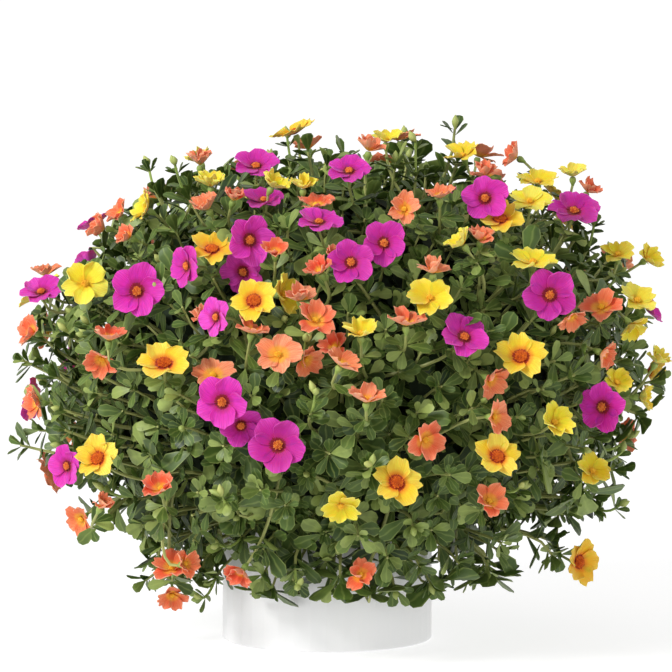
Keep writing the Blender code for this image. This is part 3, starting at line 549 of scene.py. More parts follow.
def petal_faces():
    """The upper grid's quads, the lower grid's turned over, and a strip round the edge between them."""
    rows = PETAL_ALONG + 1
    columns = PETAL_ACROSS + 1
    row, column = np.meshgrid(np.arange(rows - 1), np.arange(columns - 1), indexing="ij")
    here = (row * columns + column).ravel()
    upper = np.stack((here, here + columns, here + columns + 1, here + 1), axis=1)
    lower = upper[:, ::-1] + rows * columns
    right = np.arange(rows) * columns
    outer = (rows - 1) * columns + np.arange(columns)
    edge = np.concatenate((right, outer[1:], (right + columns - 1)[::-1][1:], np.arange(columns)[::-1][1:-1]))
    after = np.roll(edge, -1)
    strip = np.stack((after, edge, edge + rows * columns, after + rows * columns), axis=1)
    return np.concatenate((upper, lower, strip))


PETAL_QUADS = petal_faces()


def petal_width(u):
    """A petal's width along it as a share of the widest: a quarter of a sine wave from the foot's width up
    to the shoulder, then a straight taper to the tip."""
    swell = FOOT_WIDTH + (1 - FOOT_WIDTH) * np.sin(math.pi / 2 * np.clip(u / SHOULDER, 0, 1))
    return swell - TIP_TAPER * np.clip(u - SHOULDER, 0, 1) / (1 - SHOULDER)


def petals(growth, bloom, draw):
    """A bloom's five petals. For along u and across v: the arc from the petal's middle line is length
    times breadth times the width at u times v, turned into an angle by the radius there; the radius and
    height follow the spread, and a ripple, a pinwheel tilt and a lifted edge move the sheet off them."""
    habit = HABITS[bloom.colour]
    closed = max(0.0, OPEN_SPREAD - bloom.spread)
    crumpled = CRUMPLED_OPEN + CRUMPLED_MORE * closed
    u = np.linspace(0.03, 1, PETAL_ALONG + 1)[None, :, None]
    v = np.linspace(-1, 1, PETAL_ACROSS + 1)[None, None, :]
    phase = draw.uniform(0, math.tau, (3, PETALS, 1, 1))
    size = draw.uniform(0.92, 1.05, (PETALS, 1, 1)) * bloom.petal
    spread = bloom.spread + draw.normal(0, habit.unruly * (1 + closed), (PETALS, 1, 1))
    cut = habit.notch * np.exp(-(v / NOTCH_WIDTH) ** 2) + habit.gap * np.abs(v) ** GAP_CURVE
    cut = cut + habit.teeth * crumpled * np.sin(TEETH_WAVES * v + phase[0])
    reach = u * (1 - cut * u**3)
    arc = size * habit.broad * petal_width(u) * v
    radius = size * np.sin(spread) * reach**RADIUS_BEND
    height = size * np.cos(spread) * reach**HEIGHT_BEND
    height = height + size * BELLY * np.sin(spread) * (1.2 * reach - 2.0 * reach**3)
    ripple = RIPPLE * crumpled * u**2 * np.sin(RIPPLE_WAVES * v + phase[1]) * (0.35 + 0.65 * np.abs(v))
    ripple = ripple + FINE_RIPPLE * crumpled * u**3 * np.sin(FINE_WAVES * v + phase[2])
    lift = size * (ripple + PINWHEEL * v * u + EDGE_LIFT * u * v**2)
    radius = radius - lift * np.cos(spread)
    height = height + lift * np.sin(spread)
    bearing = np.arange(PETALS)[:, None, None] * math.tau / PETALS + math.pi / PETALS
    bearing = bearing + draw.normal(0, habit.unruly * 0.6, (PETALS, 1, 1))
    bearing = bearing + arc / (np.abs(radius) + 0.05 * size)
    places = (bloom.base + bloom.facing * height[..., None]
              + bloom.right * (radius * np.cos(bearing))[..., None]
              + bloom.left * (radius * np.sin(bearing))[..., None])
    normal = unit(np.cross(np.gradient(places, axis=1), np.gradient(places, axis=2)))
    half = normal * PETAL_THICKNESS / 2
    layers = np.stack((places + half, places - half), axis=1)
    each = layers[0].size // 3
    sheet = np.stack(np.broadcast_arrays(u[0], v[0]), axis=-1).reshape(-1, 2)
    sheet = np.tile(sheet, (2 * PETALS, 1))
    under = np.tile(np.repeat((0.0, 1.0), each // 2), PETALS)
    tint = np.repeat(bloom.tint + draw.uniform(-0.12, 0.12, PETALS), each)
    growth.add(layers.reshape(-1, 3), [batch_faces(PETAL_QUADS, each, PETALS)],
               "petal_" + bloom.colour, sheet, tint, under)


print("a bloom's petals have", len(PETAL_QUADS) * 2 * PETALS, "triangles")

# %% [markdown]
# ## Stamens and cup
#
# In the middle stands a tuft of short stamens with bright grains on top, packed like the seeds of a
# sunflower: each next one is turned by the golden angle. The eyed kind has a broad, dense disc of them.
# Under the petals green sepals hold the cup. Both are tubes: a stamen is one that widens at its end, a
# cup one that swells.

# %% Stamens and cup
GOLDEN_ANGLE = math.pi * (3 - math.sqrt(5))
GRAIN_STEPS = np.array((0, 0.84, 1.0))
GRAIN_RADII = np.array((0.30, 1.05, 0.45))
DOME_HEIGHT = 0.19
DOME_DROP = 0.09
FOOT_REACH = 0.35
CUP_PROFILE = np.array((1.0, 1.5, 2.3, 2.6, 1.9)) * MM
CUP_DEPTH = 7 * MM


class Tuft:
    """How many stamens a kind has, the width of their disc as a share of the petal, the grains' size and
    finish."""

    def __init__(self, count, width, grain, finish):
        self.count = count
        self.width = width
        self.grain = grain * MM
        self.finish = finish


TUFTS = {
    "magenta": Tuft(38, 0.18, 0.56, "grain_orange"),
    "eyed": Tuft(60, 0.27, 0.64, "grain_red"),
    "yellow": Tuft(22, 0.15, 0.55, "grain_gold"),
    "orange": Tuft(22, 0.15, 0.55, "grain_gold"),
}


def stamens(growth, bloom, draw):
    """Straight tubes that lean away from the axis by the square root of their turn, which packs their
    ends evenly over a low dome, each widening to a grain."""
    tuft = TUFTS[bloom.colour]
    around = np.arange(tuft.count) * GOLDEN_ANGLE
    lean = np.sqrt((np.arange(tuft.count) + 0.5) / tuft.count)
    wide = bloom.petal * tuft.width * (0.55 + 0.45 * math.sin(bloom.spread))
    reach = wide * lean + draw.uniform(-0.25, 0.25, tuft.count) * MM
    height = DOME_HEIGHT - DOME_DROP * lean**2 + draw.uniform(-0.015, 0.015, tuft.count)
    height = bloom.petal * height + 0.8 * MM
    side = swing(bloom.right, bloom.left, around)
    foot = bloom.base + bloom.facing * 0.4 * MM + side * (FOOT_REACH * reach)[:, None]
    tip = bloom.base + bloom.facing * height[:, None] + side * reach[:, None]
    paths = foot[:, None] + (tip - foot)[:, None] * GRAIN_STEPS[None, :, None]
    tubes(growth, paths, GRAIN_RADII * tuft.grain, tuft.finish, draw.uniform(0, 1, tuft.count), 4)


def cup(growth, bloom):
    """The sepals as one swelling tube from the stalk up to the petals' foot."""
    steps = np.linspace(-1, -0.10, len(CUP_PROFILE))
    path = bloom.base + bloom.facing * (steps * CUP_DEPTH)[:, None]
    tubes(growth, path[None], CUP_PROFILE, "sepal", np.array([bloom.tint]), 7)


print("stamens in a disc:", {kind: tuft.count for kind, tuft in TUFTS.items()})

# %% [markdown]
# ## Finishes
#
# All plant surfaces are mixed from the same few nodes. The sheet's along and across values place the eye
# of a petal, its veins and the midrib of a leaf, so the colour follows the surface wherever it bends.
# The tint makes neighbours differ, and on the shoots it also paints shade, darker deeper in the mound.
# Petals are thin and matt, and light passes a little way into them, so they get a soft sheen and scatter
# light below the surface; the leaves have a faint waxy shine.

# %% Helpers for finishes
class Finish:
    """A Principled material with short calls for the nodes that this plant needs."""

    def __init__(self, name, roughness, **inputs):
        self.material = bpy.data.materials.new(name)
        self.material.use_nodes = True
        self.tree = self.material.node_tree
        self.shader = self.tree.nodes["Principled BSDF"]
        set_inputs(self.shader, Roughness=roughness, **inputs)

    def node(self, kind, **values):
        """A new node with its properties set."""
        made = self.tree.nodes.new(kind)
        for name, value in values.items():
            setattr(made, name, value)
        return made

    def link(self, source, target):
        """A link between two sockets."""
        self.tree.links.new(source, target)

    def value(self, name):
        """The socket of one of the mesh's own values."""
        return self.node("ShaderNodeAttribute", attribute_name=name).outputs["Fac"]

    def sheet(self):
        """The sockets of along and across."""
        split = self.node("ShaderNodeSeparateXYZ")
        self.link(self.node("ShaderNodeUVMap", uv_map="sheet").outputs["UV"], split.inputs[0])
        return split.outputs["X"], split.outputs["Y"]

    def maths(self, operation, first, second=None, clamp=False):
        """One step of arithmetic on sockets or numbers."""
        step = self.node("ShaderNodeMath", operation=operation, use_clamp=clamp)
        for number, part in enumerate((first, second)):
            if isinstance(part, (int, float)):
                step.inputs[number].default_value = part
            elif part is not None:
                self.link(part, step.inputs[number])
        return step.outputs[0]

    def smooth(self, value, low, high, start=0.0, end=1.0):
        """A soft step from start to end while the value goes from low to high."""
        step = self.node("ShaderNodeMapRange", interpolation_type="SMOOTHSTEP")
        set_inputs(step, From_Min=low, From_Max=high, To_Min=start, To_Max=end)
        self.link(value, step.inputs["Value"])
        return step.outputs["Result"]

    def mix(self, share, first, second):
        """A blend of two colours, each a socket or red, green, blue."""
        blend = self.node("ShaderNodeMix", data_type="RGBA")
        self.link(share, blend.inputs["Factor"])
        for socket, part in (("A", first), ("B", second)):
            colour = next(one for one in blend.inputs if one.name == socket and one.type == "RGBA")
            if isinstance(part, tuple):
                colour.default_value = (*part, 1)
            else:
                self.link(part, colour)
        return next(one for one in blend.outputs if one.type == "RGBA")

    def noise(self, scale, detail=3.0, stretch=None):
        """Noise on Object coordinates, or on the sheet where it is stretched along it."""
        noise = self.node("ShaderNodeTexNoise")
        set_inputs(noise, Scale=scale, Detail=detail)
        source = self.node("ShaderNodeTexCoord").outputs["Object"]
        if stretch:
            source = self.node("ShaderNodeUVMap", uv_map="sheet").outputs["UV"]
            mapping = self.node("ShaderNodeMapping")
            set_inputs(mapping, Scale=stretch)
            self.link(source, mapping.inputs["Vector"])
            source = mapping.outputs["Vector"]
        self.link(source, noise.inputs["Vector"])
        return noise.outputs["Fac"]

    def colour(self, socket):
        """Give the shader its colour."""
        self.link(socket, self.shader.inputs["Base Color"])

    def bump(self, height, strength, distance):
        """Give the shader a bump."""
        bump = self.node("ShaderNodeBump")
        set_inputs(bump, Strength=strength, Distance=distance)
        self.link(height, bump.inputs["Height"])
        self.link(bump.outputs["Normal"], self.shader.inputs["Normal"])


def petal_finish(name, body, deep, pale, eye, eye_size, throat, throat_size):
    """A petal: body colour between deep and pale by its tint, fine veins along it, a paler underside, a
    throat that fades out from the middle and an eye inside it."""
    finish = Finish(name, 0.55, Sheen_Weight=0.15, Specular_IOR_Level=0.25, Subsurface_Weight=0.35,
                    Subsurface_Scale=2 * MM)
    along, across = finish.sheet()
    tint = finish.value("tint")
    base = finish.mix(finish.smooth(tint, 0.05, 0.7), deep, body)
    base = finish.mix(finish.smooth(tint, 0.7, 1.05, 0.0, 0.6), base, pale)
    base = finish.mix(finish.smooth(along, 0.55, 1.05, 0.0, 0.45), base, pale)
    vein = finish.smooth(finish.noise(1.0, 2.0, (1.4, 16.0, 1.0)), 0.40, 0.62, 0.0, 0.55)
    base = finish.mix(vein, base, deep)
    base = finish.mix(finish.maths("MULTIPLY", finish.value("under"), 0.5), base, pale)
    base = finish.mix(finish.smooth(along, throat_size * 0.55, throat_size, 1.0, 0.0), base, throat)
    ragged = finish.smooth(finish.noise(1.0, 2.0, (0.0, 7.0, 1.0)), 0.3, 0.7, -0.03, 0.03)
    wobble = finish.maths("ADD", along, ragged)
    base = finish.mix(finish.smooth(wobble, eye_size * 0.82, eye_size, 1.0, 0.0), base, eye)
    finish.colour(base)
    finish.bump(finish.noise(1.0, 3.0, (2.0, 22.0, 1.0)), 0.6, 0.6 * MM)
    return finish.material


def leaf_finish(name, dark, middle, light, roughness):
    """A leaf: three greens by tint, a paler midrib, a pale rim that is partly its own edge colour and partly
    a painted highlight, and a yellower foot.
    """
    finish = Finish(name, roughness, Specular_IOR_Level=0.28, Coat_Weight=0.05, Coat_Roughness=0.35)
    along, across = finish.sheet()
    tint = finish.value("tint")
    base = finish.mix(finish.smooth(tint, 0.0, 0.5), dark, middle)
    base = finish.mix(finish.smooth(tint, 0.5, 1.0), base, light)
    blotch = finish.smooth(finish.noise(90.0), 0.35, 0.7, 0.0, 0.35)
    base = finish.mix(blotch, base, dark)
    aside = finish.maths("ABSOLUTE", across)
    base = finish.mix(finish.smooth(aside, 0.0, 0.22, 0.28, 0.0), base, light)
    # The pale rim: partly the leaf's own paler edge, partly a painted highlight on its rounded edge.
    base = finish.mix(finish.smooth(aside, 0.80, 1.0, 0.0, 0.55), base, light)
    base = finish.mix(finish.smooth(along, 0.0, 0.3, 0.45, 0.0), base, light)
    finish.colour(base)
    finish.bump(finish.noise(420.0), 0.25, 0.25 * MM)
    return finish.material


def plain_finish(name, dark, light, roughness, scale, bump_size):
    """A simple mottled surface between two colours by tint and noise."""
    finish = Finish(name, roughness, Specular_IOR_Level=0.35)
    share = finish.maths("ADD", finish.maths("MULTIPLY", finish.value("tint"), 0.6),
                         finish.maths("MULTIPLY", finish.noise(scale), 0.5), True)
    finish.colour(finish.mix(share, dark, light))
    finish.bump(finish.noise(scale * 4), 0.4, bump_size)
    return finish.material


# %% The finishes
FINISHES = {
    "petal_magenta": petal_finish(
        "petal_magenta", body=(0.60, 0.012, 0.36), deep=(0.40, 0.003, 0.22), pale=(0.78, 0.090, 0.56),
        eye=(0.22, 0.002, 0.018), eye_size=0.28, throat=(0.42, 0.003, 0.17), throat_size=0.50),
    "petal_eyed": petal_finish(
        "petal_eyed", body=(0.84, 0.57, 0.016), deep=(0.80, 0.40, 0.008), pale=(0.90, 0.78, 0.16),
        eye=(0.38, 0.030, 0.004), eye_size=0.32, throat=(0.80, 0.26, 0.006), throat_size=0.54),
    "petal_yellow": petal_finish(
        "petal_yellow", body=(0.84, 0.67, 0.016), deep=(0.76, 0.52, 0.008), pale=(0.90, 0.82, 0.20),
        eye=(0.78, 0.42, 0.01), eye_size=0.18, throat=(0.80, 0.50, 0.01), throat_size=0.40),
    "petal_orange": petal_finish(
        "petal_orange", body=(0.86, 0.25, 0.09), deep=(0.72, 0.065, 0.018), pale=(0.90, 0.45, 0.27),
        eye=(0.84, 0.34, 0.02), eye_size=0.22, throat=(0.86, 0.34, 0.03), throat_size=0.50),
    "leaf": leaf_finish(
        "leaf", dark=(0.013, 0.033, 0.006), middle=(0.070, 0.122, 0.019), light=(0.31, 0.385, 0.100),
        roughness=0.45),
    # The inner leaves' finish is painted shade: the leaf mix with its three greens darkened to near black.
    "leaf_inner": leaf_finish(
        "leaf_inner", dark=(0.004, 0.010, 0.002), middle=(0.009, 0.022, 0.005), light=(0.020, 0.040, 0.009),
        roughness=0.7),
    "stem": plain_finish("stem", (0.17, 0.20, 0.05), (0.42, 0.44, 0.15), 0.45, 60, 0.2 * MM),
    "sepal": plain_finish("sepal", (0.12, 0.20, 0.04), (0.34, 0.44, 0.10), 0.5, 120, 0.1 * MM),
    "bud": plain_finish("bud", (0.18, 0.28, 0.06), (0.50, 0.52, 0.16), 0.45, 120, 0.1 * MM),
    "grain_gold": plain_finish("grain_gold", (0.84, 0.36, 0.02), (0.90, 0.62, 0.05), 0.7, 300, 0.1 * MM),
    "grain_orange": plain_finish("grain_orange", (0.50, 0.035, 0.02), (0.88, 0.34, 0.05), 0.7, 300, 0.1 * MM),
    "grain_red": plain_finish("grain_red", (0.42, 0.035, 0.004), (0.80, 0.20, 0.012), 0.7, 300, 0.1 * MM),
}
print(len(FINISHES), "finishes")

# %% [markdown]
# ## Blooms on their stalks
#
# Each spray of the model becomes one piece. A bloom's stalk leaves the branch where the spray's foot is
# and bends to arrive straight behind the cup. As on the real plant, a small whorl of leaves sits close
# under every bloom, and a few leaves stand along the stalk.

# %% Grow the sprays
MOUND_CENTRE = np.array((10.0, 0.0, 191.0)) * MM
LEAF_SHELL = np.array((220.0, 207.0, 162.0)) * MM
STALK_RADII = np.linspace(1.5, 1.0, 9) * MM
COLLAR_LEAVES = 6
STALK_LEAVES = 4
BLOOM_AIR = np.array((-3, 90)) * MM


def outward(points):
    """The way straight out of the mound: square to the shell through each point."""
    return unit((points - MOUND_CENTRE) / LEAF_SHELL**2)


def clear_of_blooms(points, room=0.85, seen=True):
    """Whether each point leaves every bloom free: not in the column of air in front of its face, and for
    a bloom in sight not between it and the viewer."""
    clear = np.ones(len(points), bool)
    for bloom in ALL_BLOOMS:
        offset = points - bloom.seat
        ways = [bloom.facing] + ([TO_VIEWER] if bloom.in_sight and seen else [])
        for way in ways:
            depth = offset @ way
            aside = np.linalg.norm(offset - depth[:, None] * way, axis=1)
            clear &= ~((aside < bloom.petal * room) & (depth > BLOOM_AIR[0]) & (depth < BLOOM_AIR[1]))
    return clear


def stalk_leaves(growth, path, steps, pitches, lengths, draw):
    """Leaves in a spiral round one path: each leans from the path by a pitch drawn from its range, the
    upper side in, and has a length drawn in mm. Those that would reach over a bloom are left out."""
    pitch = draw.uniform(*pitches, len(steps))[:, None]
    length = draw.uniform(*lengths, len(steps)) * MM
    at = (steps * (len(path) - 1)).astype(int)
    foot = path[at]
    along = unit(np.gradient(path, axis=0))[at]
    first = unit(np.cross(along, np.where(np.abs(along[:, 2:]) < 0.9, UP, TO_RIGHT)))
    second = np.cross(along, first)
    around = np.arange(len(steps)) * GOLDEN_ANGLE + draw.uniform(0, math.tau)
    side = swing(first, second, around)
    way = unit(side * np.cos(pitch) + along * np.sin(pitch))
    upper = along * np.cos(pitch) - side * np.sin(pitch)
    width = length * draw.uniform(0.42, 0.60, len(steps))
    curl = draw.uniform(-0.10, 0.16, len(steps))
    tint = np.clip(draw.normal(0.55, 0.22, len(steps)), 0, 1)
    keep = clear_of_blooms(foot + way * length[:, None] * 0.7, 0.8, False)
    keep &= clear_of_blooms(foot + way * length[:, None] * 0.5, 0.6)
    keep &= clear_of_blooms(foot + way * length[:, None] * 0.95, 0.7)
    leaves(growth, foot[keep] + side[keep] * 0.8 * MM, way[keep], upper[keep], length[keep], width[keep],
           curl[keep], tint[keep])


def grow_spray(name, seed):
    """One spray: petals, stamens, cups, stalks and their leaves."""
    draw = np.random.default_rng(seed)
    growth = Growth()
    foot = foot_of(name, MOUND_CENTRE - UP * 60 * MM)
    for bloom in BLOOMS[name]:
        bloom.tint = draw.uniform(0.15, 0.95)
        petals(growth, bloom, draw)
        stamens(growth, bloom, draw)
        cup(growth, bloom)
        end = bloom.base - bloom.facing * CUP_DEPTH * 0.8
        path = curves(foot[None], outward(foot[None]), end[None], bloom.facing[None], 9)
        tubes(growth, path, STALK_RADII, "stem", draw.uniform(0, 1, 1))
        stalk_leaves(growth, path[0], draw.uniform(0.84, 0.93, COLLAR_LEAVES), (-0.1, 0.5), (11, 18), draw)
        stalk_leaves(growth, path[0], draw.uniform(0.35, 0.8, STALK_LEAVES), (0.2, 0.8), (13, 21), draw)
    thing = growth.piece(name.replace("spray", "blooms"), FINISHES)
    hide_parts(name)
    return len(growth.faces)


bloom_faces = sum(grow_spray(name, number) for number, name in enumerate(SPRAYS))
print("the sprays have", bloom_faces, "faces")

# %% [markdown]
# ## Leafy shoots
#
# The mound itself is hundreds of shoots. Each starts on the inner growth, dark with painted shade,
# curves outward and up, carries leaves in a spiral and ends in a rosette. The tips are spread over the
# mound by the golden angle, which never lines them up. Shoots also end in each whorl that the model
# has, with leaves along the model's own, and at the tips that stand out in the photograph.

# %% Shoot tips
SHOOTS = 520
SHOOT_LOWEST = 0.80
SHOOT_REACH = (0.80, 1.02)
CORE_REACH = 0.60
SHOOT_POINTS = 7
SHOOT_RADII = np.linspace(1.7, 0.9, SHOOT_POINTS) * MM
LEAF_LOWEST = 12 * MM
HEM_SHOOTS = 44
HEM_START = (97, 136)
HEM_RADIUS = (84, 112)
HEM_HEIGHT = (50, 104)
POT_CLEAR_RADIUS = 77 * MM
POT_CLEAR_HEIGHT = 127 * MM
TIPS_IN_SIGHT = (
    (308, 152), (455, 128), (472, 408), (358, 536), (395, 590), (420, 567), (330, 588), (262, 577),
    (293, 580), (155, 190), (628, 350), (658, 380), (22, 360), (20, 445), (62, 410), (600, 510),
    (552, 555), (146, 580), (186, 195), (250, 395), (227, 500), (260, 490), (450, 475), (287, 228),
    (395, 162), (180, 395), (575, 375), (636, 315), (65, 430), (430, 583), (215, 580),
)


def seat_in_sight(column, row, shell):
    """Where the line of sight through a picture place meets a shell, or passes nearest to it."""
    eye = VIEW_TARGET + TO_VIEWER * VIEW_DISTANCE
    offset = TO_RIGHT * (column - PICTURE_CENTRE) + TO_TOP * (PICTURE_CENTRE - row)
    sight = unit(VIEW_TARGET + offset * PICTURE_SCALE - eye)
    start = (eye - MOUND_CENTRE) / shell
    way = sight / shell
    half = start @ way
    square = max(half * half - way @ way * (start @ start - 1), 0)
    return eye + sight * (-half - math.sqrt(square)) / (way @ way)


def shoot_tips():
    """Tips spread evenly over the leaf shell at drawn depths, then those seen in the photograph."""
    draw = np.random.default_rng(3)
    number = np.arange(SHOOTS)
    height = 1 - (1 + SHOOT_LOWEST) * (number + 0.5) / SHOOTS
    way = ball_ways(number * GOLDEN_ANGLE, height)
    spread = MOUND_CENTRE + way * LEAF_SHELL * draw.uniform(*SHOOT_REACH, SHOOTS)[:, None]
    seen = np.array([seat_in_sight(*place, LEAF_SHELL) for place in TIPS_IN_SIGHT])
    return np.concatenate((spread, seen))


def clear_of_pot(points):
    """Whether each point is outside the pot: beyond its wall or above its rim."""
    away = np.hypot(points[:, 0], points[:, 1])
    return (away > POT_CLEAR_RADIUS) | (points[:, 2] > POT_CLEAR_HEIGHT)


def hem():
    """Starts and tips of the shoots that hang over the pot's rim: rings at drawn radii and heights."""
    draw = np.random.default_rng(5)
    around = (np.arange(HEM_SHOOTS) + draw.uniform(-0.4, 0.4, HEM_SHOOTS)) * math.tau / HEM_SHOOTS
    ring = np.stack((np.cos(around), np.sin(around), np.zeros(HEM_SHOOTS)), axis=1)
    start = (ring * HEM_START[0] + UP * HEM_START[1]) * MM
    tip = ring * draw.uniform(*HEM_RADIUS, HEM_SHOOTS)[:, None]
    tip = (tip + UP * draw.uniform(*HEM_HEIGHT, HEM_SHOOTS)[:, None]) * MM
    free = clear_of_blooms(tip, 0.7)
    return start[free], tip[free], ring[free]


TIPS = shoot_tips()
TIPS = TIPS[clear_of_blooms(TIPS, 0.7)]
HEM_STARTS, HEM_TIPS, HEM_WAYS = hem()
print(len(TIPS) + len(HEM_TIPS), "shoots leave the blooms free")

# %% Grow the branches
WHORL_LEAVES = 5
SPOKES_APART = 0.6


class Leafing:
    """Leaves on one stretch of a shoot: their number, the stretch as shares of the shoot, the ranges of
    their pitch and of their length in mm, and their mean tint."""

    def __init__(self, count, stretch, pitch, length, tint):
        self.count = count
        self.stretch = stretch
        self.pitch = pitch
        self.length = length
        self.tint = tint


# Leaves along a shoot have a lower mean tint than the rosette's: painted shade deeper in the mound.
ALONG_SHOOT = Leafing(8, (0.30, 0.93), (0.10, 0.80), (13, 24), 0.30)
ROSETTE = Leafing(7, (0.94, 1.0), (0.15, 1.15), (9, 17), 0.56)


def whorl_leaves(growth, tip, rim, draw):
    """Five large leaves along those of a whorl in the model: the rim's furthest points, one in each fifth
    of the circle, are the leaf tips."""
    facing = unit(rim.mean(axis=0) - tip)
    spokes = rim - tip
    spokes = spokes[np.argsort(-np.linalg.norm(spokes, axis=1))]
    chosen = []
    for spoke in spokes:
        if all(unit(spoke) @ unit(other) < SPOKES_APART for other in chosen):
            chosen.append(spoke)
    ends = np.array(chosen[:WHORL_LEAVES])
    way = unit(ends)
    upper = unit(facing - way * (way @ facing)[:, None])
    length = np.linalg.norm(ends, axis=1)
    count = len(ends)
    foot = np.broadcast_to(tip, (count, 3)) + way * 1.0 * MM
    leaves(growth, foot, way, upper, length, length * draw.uniform(0.5, 0.6, count),
           draw.uniform(-0.02, 0.10, count), np.clip(draw.normal(0.62, 0.15, count), 0, 1))
    path = tip + facing * np.array(((-8,), (-4,), (2,))) * MM
    stalk_leaves(growth, path, np.full(WHORL_LEAVES, 0.99), (0.7, 1.15), (8, 13), draw)
    return facing


def shoot_leaves(growth, paths, leafing, draw):
    """Spiral leaves on one stretch of every path: feet and ways lie between two path points, weighted by
    the step's part. The leaves turn lighter towards the tip, a painted shade that darkens those deeper in
    the mound; those in a bloom's air, in the pot or too near the ground are left out."""
    number, count = len(paths), leafing.count
    along = unit(np.gradient(paths, axis=1))
    steps = np.linspace(*leafing.stretch, count) * (SHOOT_POINTS - 1)
    whole = np.minimum(steps.astype(int), SHOOT_POINTS - 2)
    part = (steps - whole)[None, :, None]
    foot = paths[:, whole] * (1 - part) + paths[:, whole + 1] * part
    way = unit(along[:, whole] * (1 - part) + along[:, whole + 1] * part)
    first = unit(np.cross(way, UP + 0.01))
    second = np.cross(way, first)
    around = np.arange(count) * GOLDEN_ANGLE + draw.uniform(0, math.tau, (number, 1))
    side = swing(first, second, around)
    lift = draw.uniform(*leafing.pitch, (number, count))[..., None]
    leaf_way = unit(side * np.cos(lift) + way * np.sin(lift)).reshape(-1, 3)
    upper = (way * np.cos(lift) - side * np.sin(lift)).reshape(-1, 3)
    length = draw.uniform(*leafing.length, (number, count)) * draw.uniform(0.75, 1.2, (number, 1)) * MM
    tint = draw.normal(leafing.tint, 0.14, (number, count)) + draw.uniform(-0.16, 0.20, (number, 1))
    # Painted shade: the tint rises along the shoot, so leaves deeper in the mound are darker.
    tint = np.clip(tint + np.linspace(-0.12, 0.12, count), 0, 1).ravel()
    foot = (foot + side * 0.8 * MM).reshape(-1, 3)
    length = length.ravel()
    ends = foot + leaf_way * length[:, None]
    keep = clear_of_blooms(foot * 0.4 + ends * 0.6)
    keep &= clear_of_blooms(foot, 0.5) & clear_of_blooms(ends, 0.8)
    keep &= clear_of_pot(ends) & clear_of_pot(foot) & (ends[:, 2] > LEAF_LOWEST)
    width = length * draw.uniform(0.42, 0.60, len(length))
    curl = draw.uniform(-0.14, 0.16, len(length))
    leaves(growth, foot[keep], leaf_way[keep], upper[keep], length[keep], width[keep], curl[keep], tint[keep])


def shoots(growth, tips, tip_ways, draw, leafy=True, core=None):
    """Curved stems from the inner growth to their tips, with leaves along them and a rosette at the end."""
    if core is None:
        core = MOUND_CENTRE + (tips - MOUND_CENTRE) * CORE_REACH - UP * 18 * MM
    paths = curves(core, outward(core), tips, tip_ways, SHOOT_POINTS)
    tubes(growth, paths, SHOOT_RADII, "stem", draw.uniform(0, 1, len(tips)), 4)
    if leafy:
        shoot_leaves(growth, paths, ALONG_SHOOT, draw)
        shoot_leaves(growth, paths, ROSETTE, draw)


INNER_LEAVES = 115
INNER_SHELL = np.array((150.0, 141.0, 114.0)) * MM
SPRIGS = 9
SPRIG_LENGTH = (12, 24)
SPRIG_LEAVES = 5
BUD_ROOM = 10 * MM
BUD_PROFILE = np.array((0.9, 2.0, 2.5, 1.7, 0.3)) * MM


def inner_leaves(growth, low, high, draw):
    """Large leaves in painted shade that lie over the inner growth like shingles, between two bearings."""
    around = draw.uniform(low, high, INNER_LEAVES)
    height = draw.uniform(-0.86, 1.0, INNER_LEAVES)
    way = ball_ways(around, height)
    foot = MOUND_CENTRE + way * INNER_SHELL * draw.uniform(0.93, 1.08, INNER_LEAVES)[:, None]
    normal = outward(foot)
    slide = unit(np.cross(normal, draw.normal(0, 1, (INNER_LEAVES, 3))))
    length = draw.uniform(22, 34, INNER_LEAVES) * MM
    leaves(growth, foot, unit(slide + normal * 0.25), normal, length, length * 0.68,
           draw.uniform(-0.1, 0.2, INNER_LEAVES), draw.uniform(0, 1, INNER_LEAVES), "leaf_inner")


def buds(growth, places, ways, draw):
    """Pointed green buds: tubes that swell and close."""
    length = draw.uniform(7, 10, len(places)) * MM
    steps = np.linspace(0, 1, len(BUD_PROFILE))
    paths = places[:, None] + (ways * length[:, None])[:, None] * steps[None, :, None]
    tubes(growth, paths, BUD_PROFILE, "bud", draw.uniform(0, 1, len(places)), 6)


def sprigs(growth, tips, ways, draw):
    """Bud sprigs: a pale stalk that goes on from a shoot's tip, small narrow leaves round its end, and
    two or three buds that part from each other."""
    for tip, way in zip(tips, ways):
        end = tip + unit(way + UP * 0.5) * draw.uniform(*SPRIG_LENGTH) * MM
        rising = unit(way + UP)
        beyond = end + rising * BUD_ROOM
        if not clear_of_blooms(np.stack((tip, end, beyond)), 1.0).all():
            continue
        path = curves(tip[None], way[None], end[None], rising[None], 5)
        tubes(growth, path, 1.0 * MM, "sepal", draw.uniform(0.4, 1, 1), 5)
        stalk_leaves(growth, path[0], np.full(SPRIG_LEAVES, 0.99), (0.3, 1.0), (8, 14), draw)
        count = draw.integers(2, 4)
        apart = unit(rising + draw.normal(0, 0.35, (count, 3)))
        buds(growth, np.repeat(end[None], count, axis=0), apart, draw)


BRANCH_CENTRE = 8 * MM
SHARE = math.tau / len(BRANCHES)


def in_share(points, number):
    """Which points lie in one branch's share of the circle round the plant's middle."""
    bearing = np.mod(np.arctan2(points[:, 1], points[:, 0] - BRANCH_CENTRE), math.tau)
    return (bearing >= number * SHARE) & (bearing < (number + 1) * SHARE)


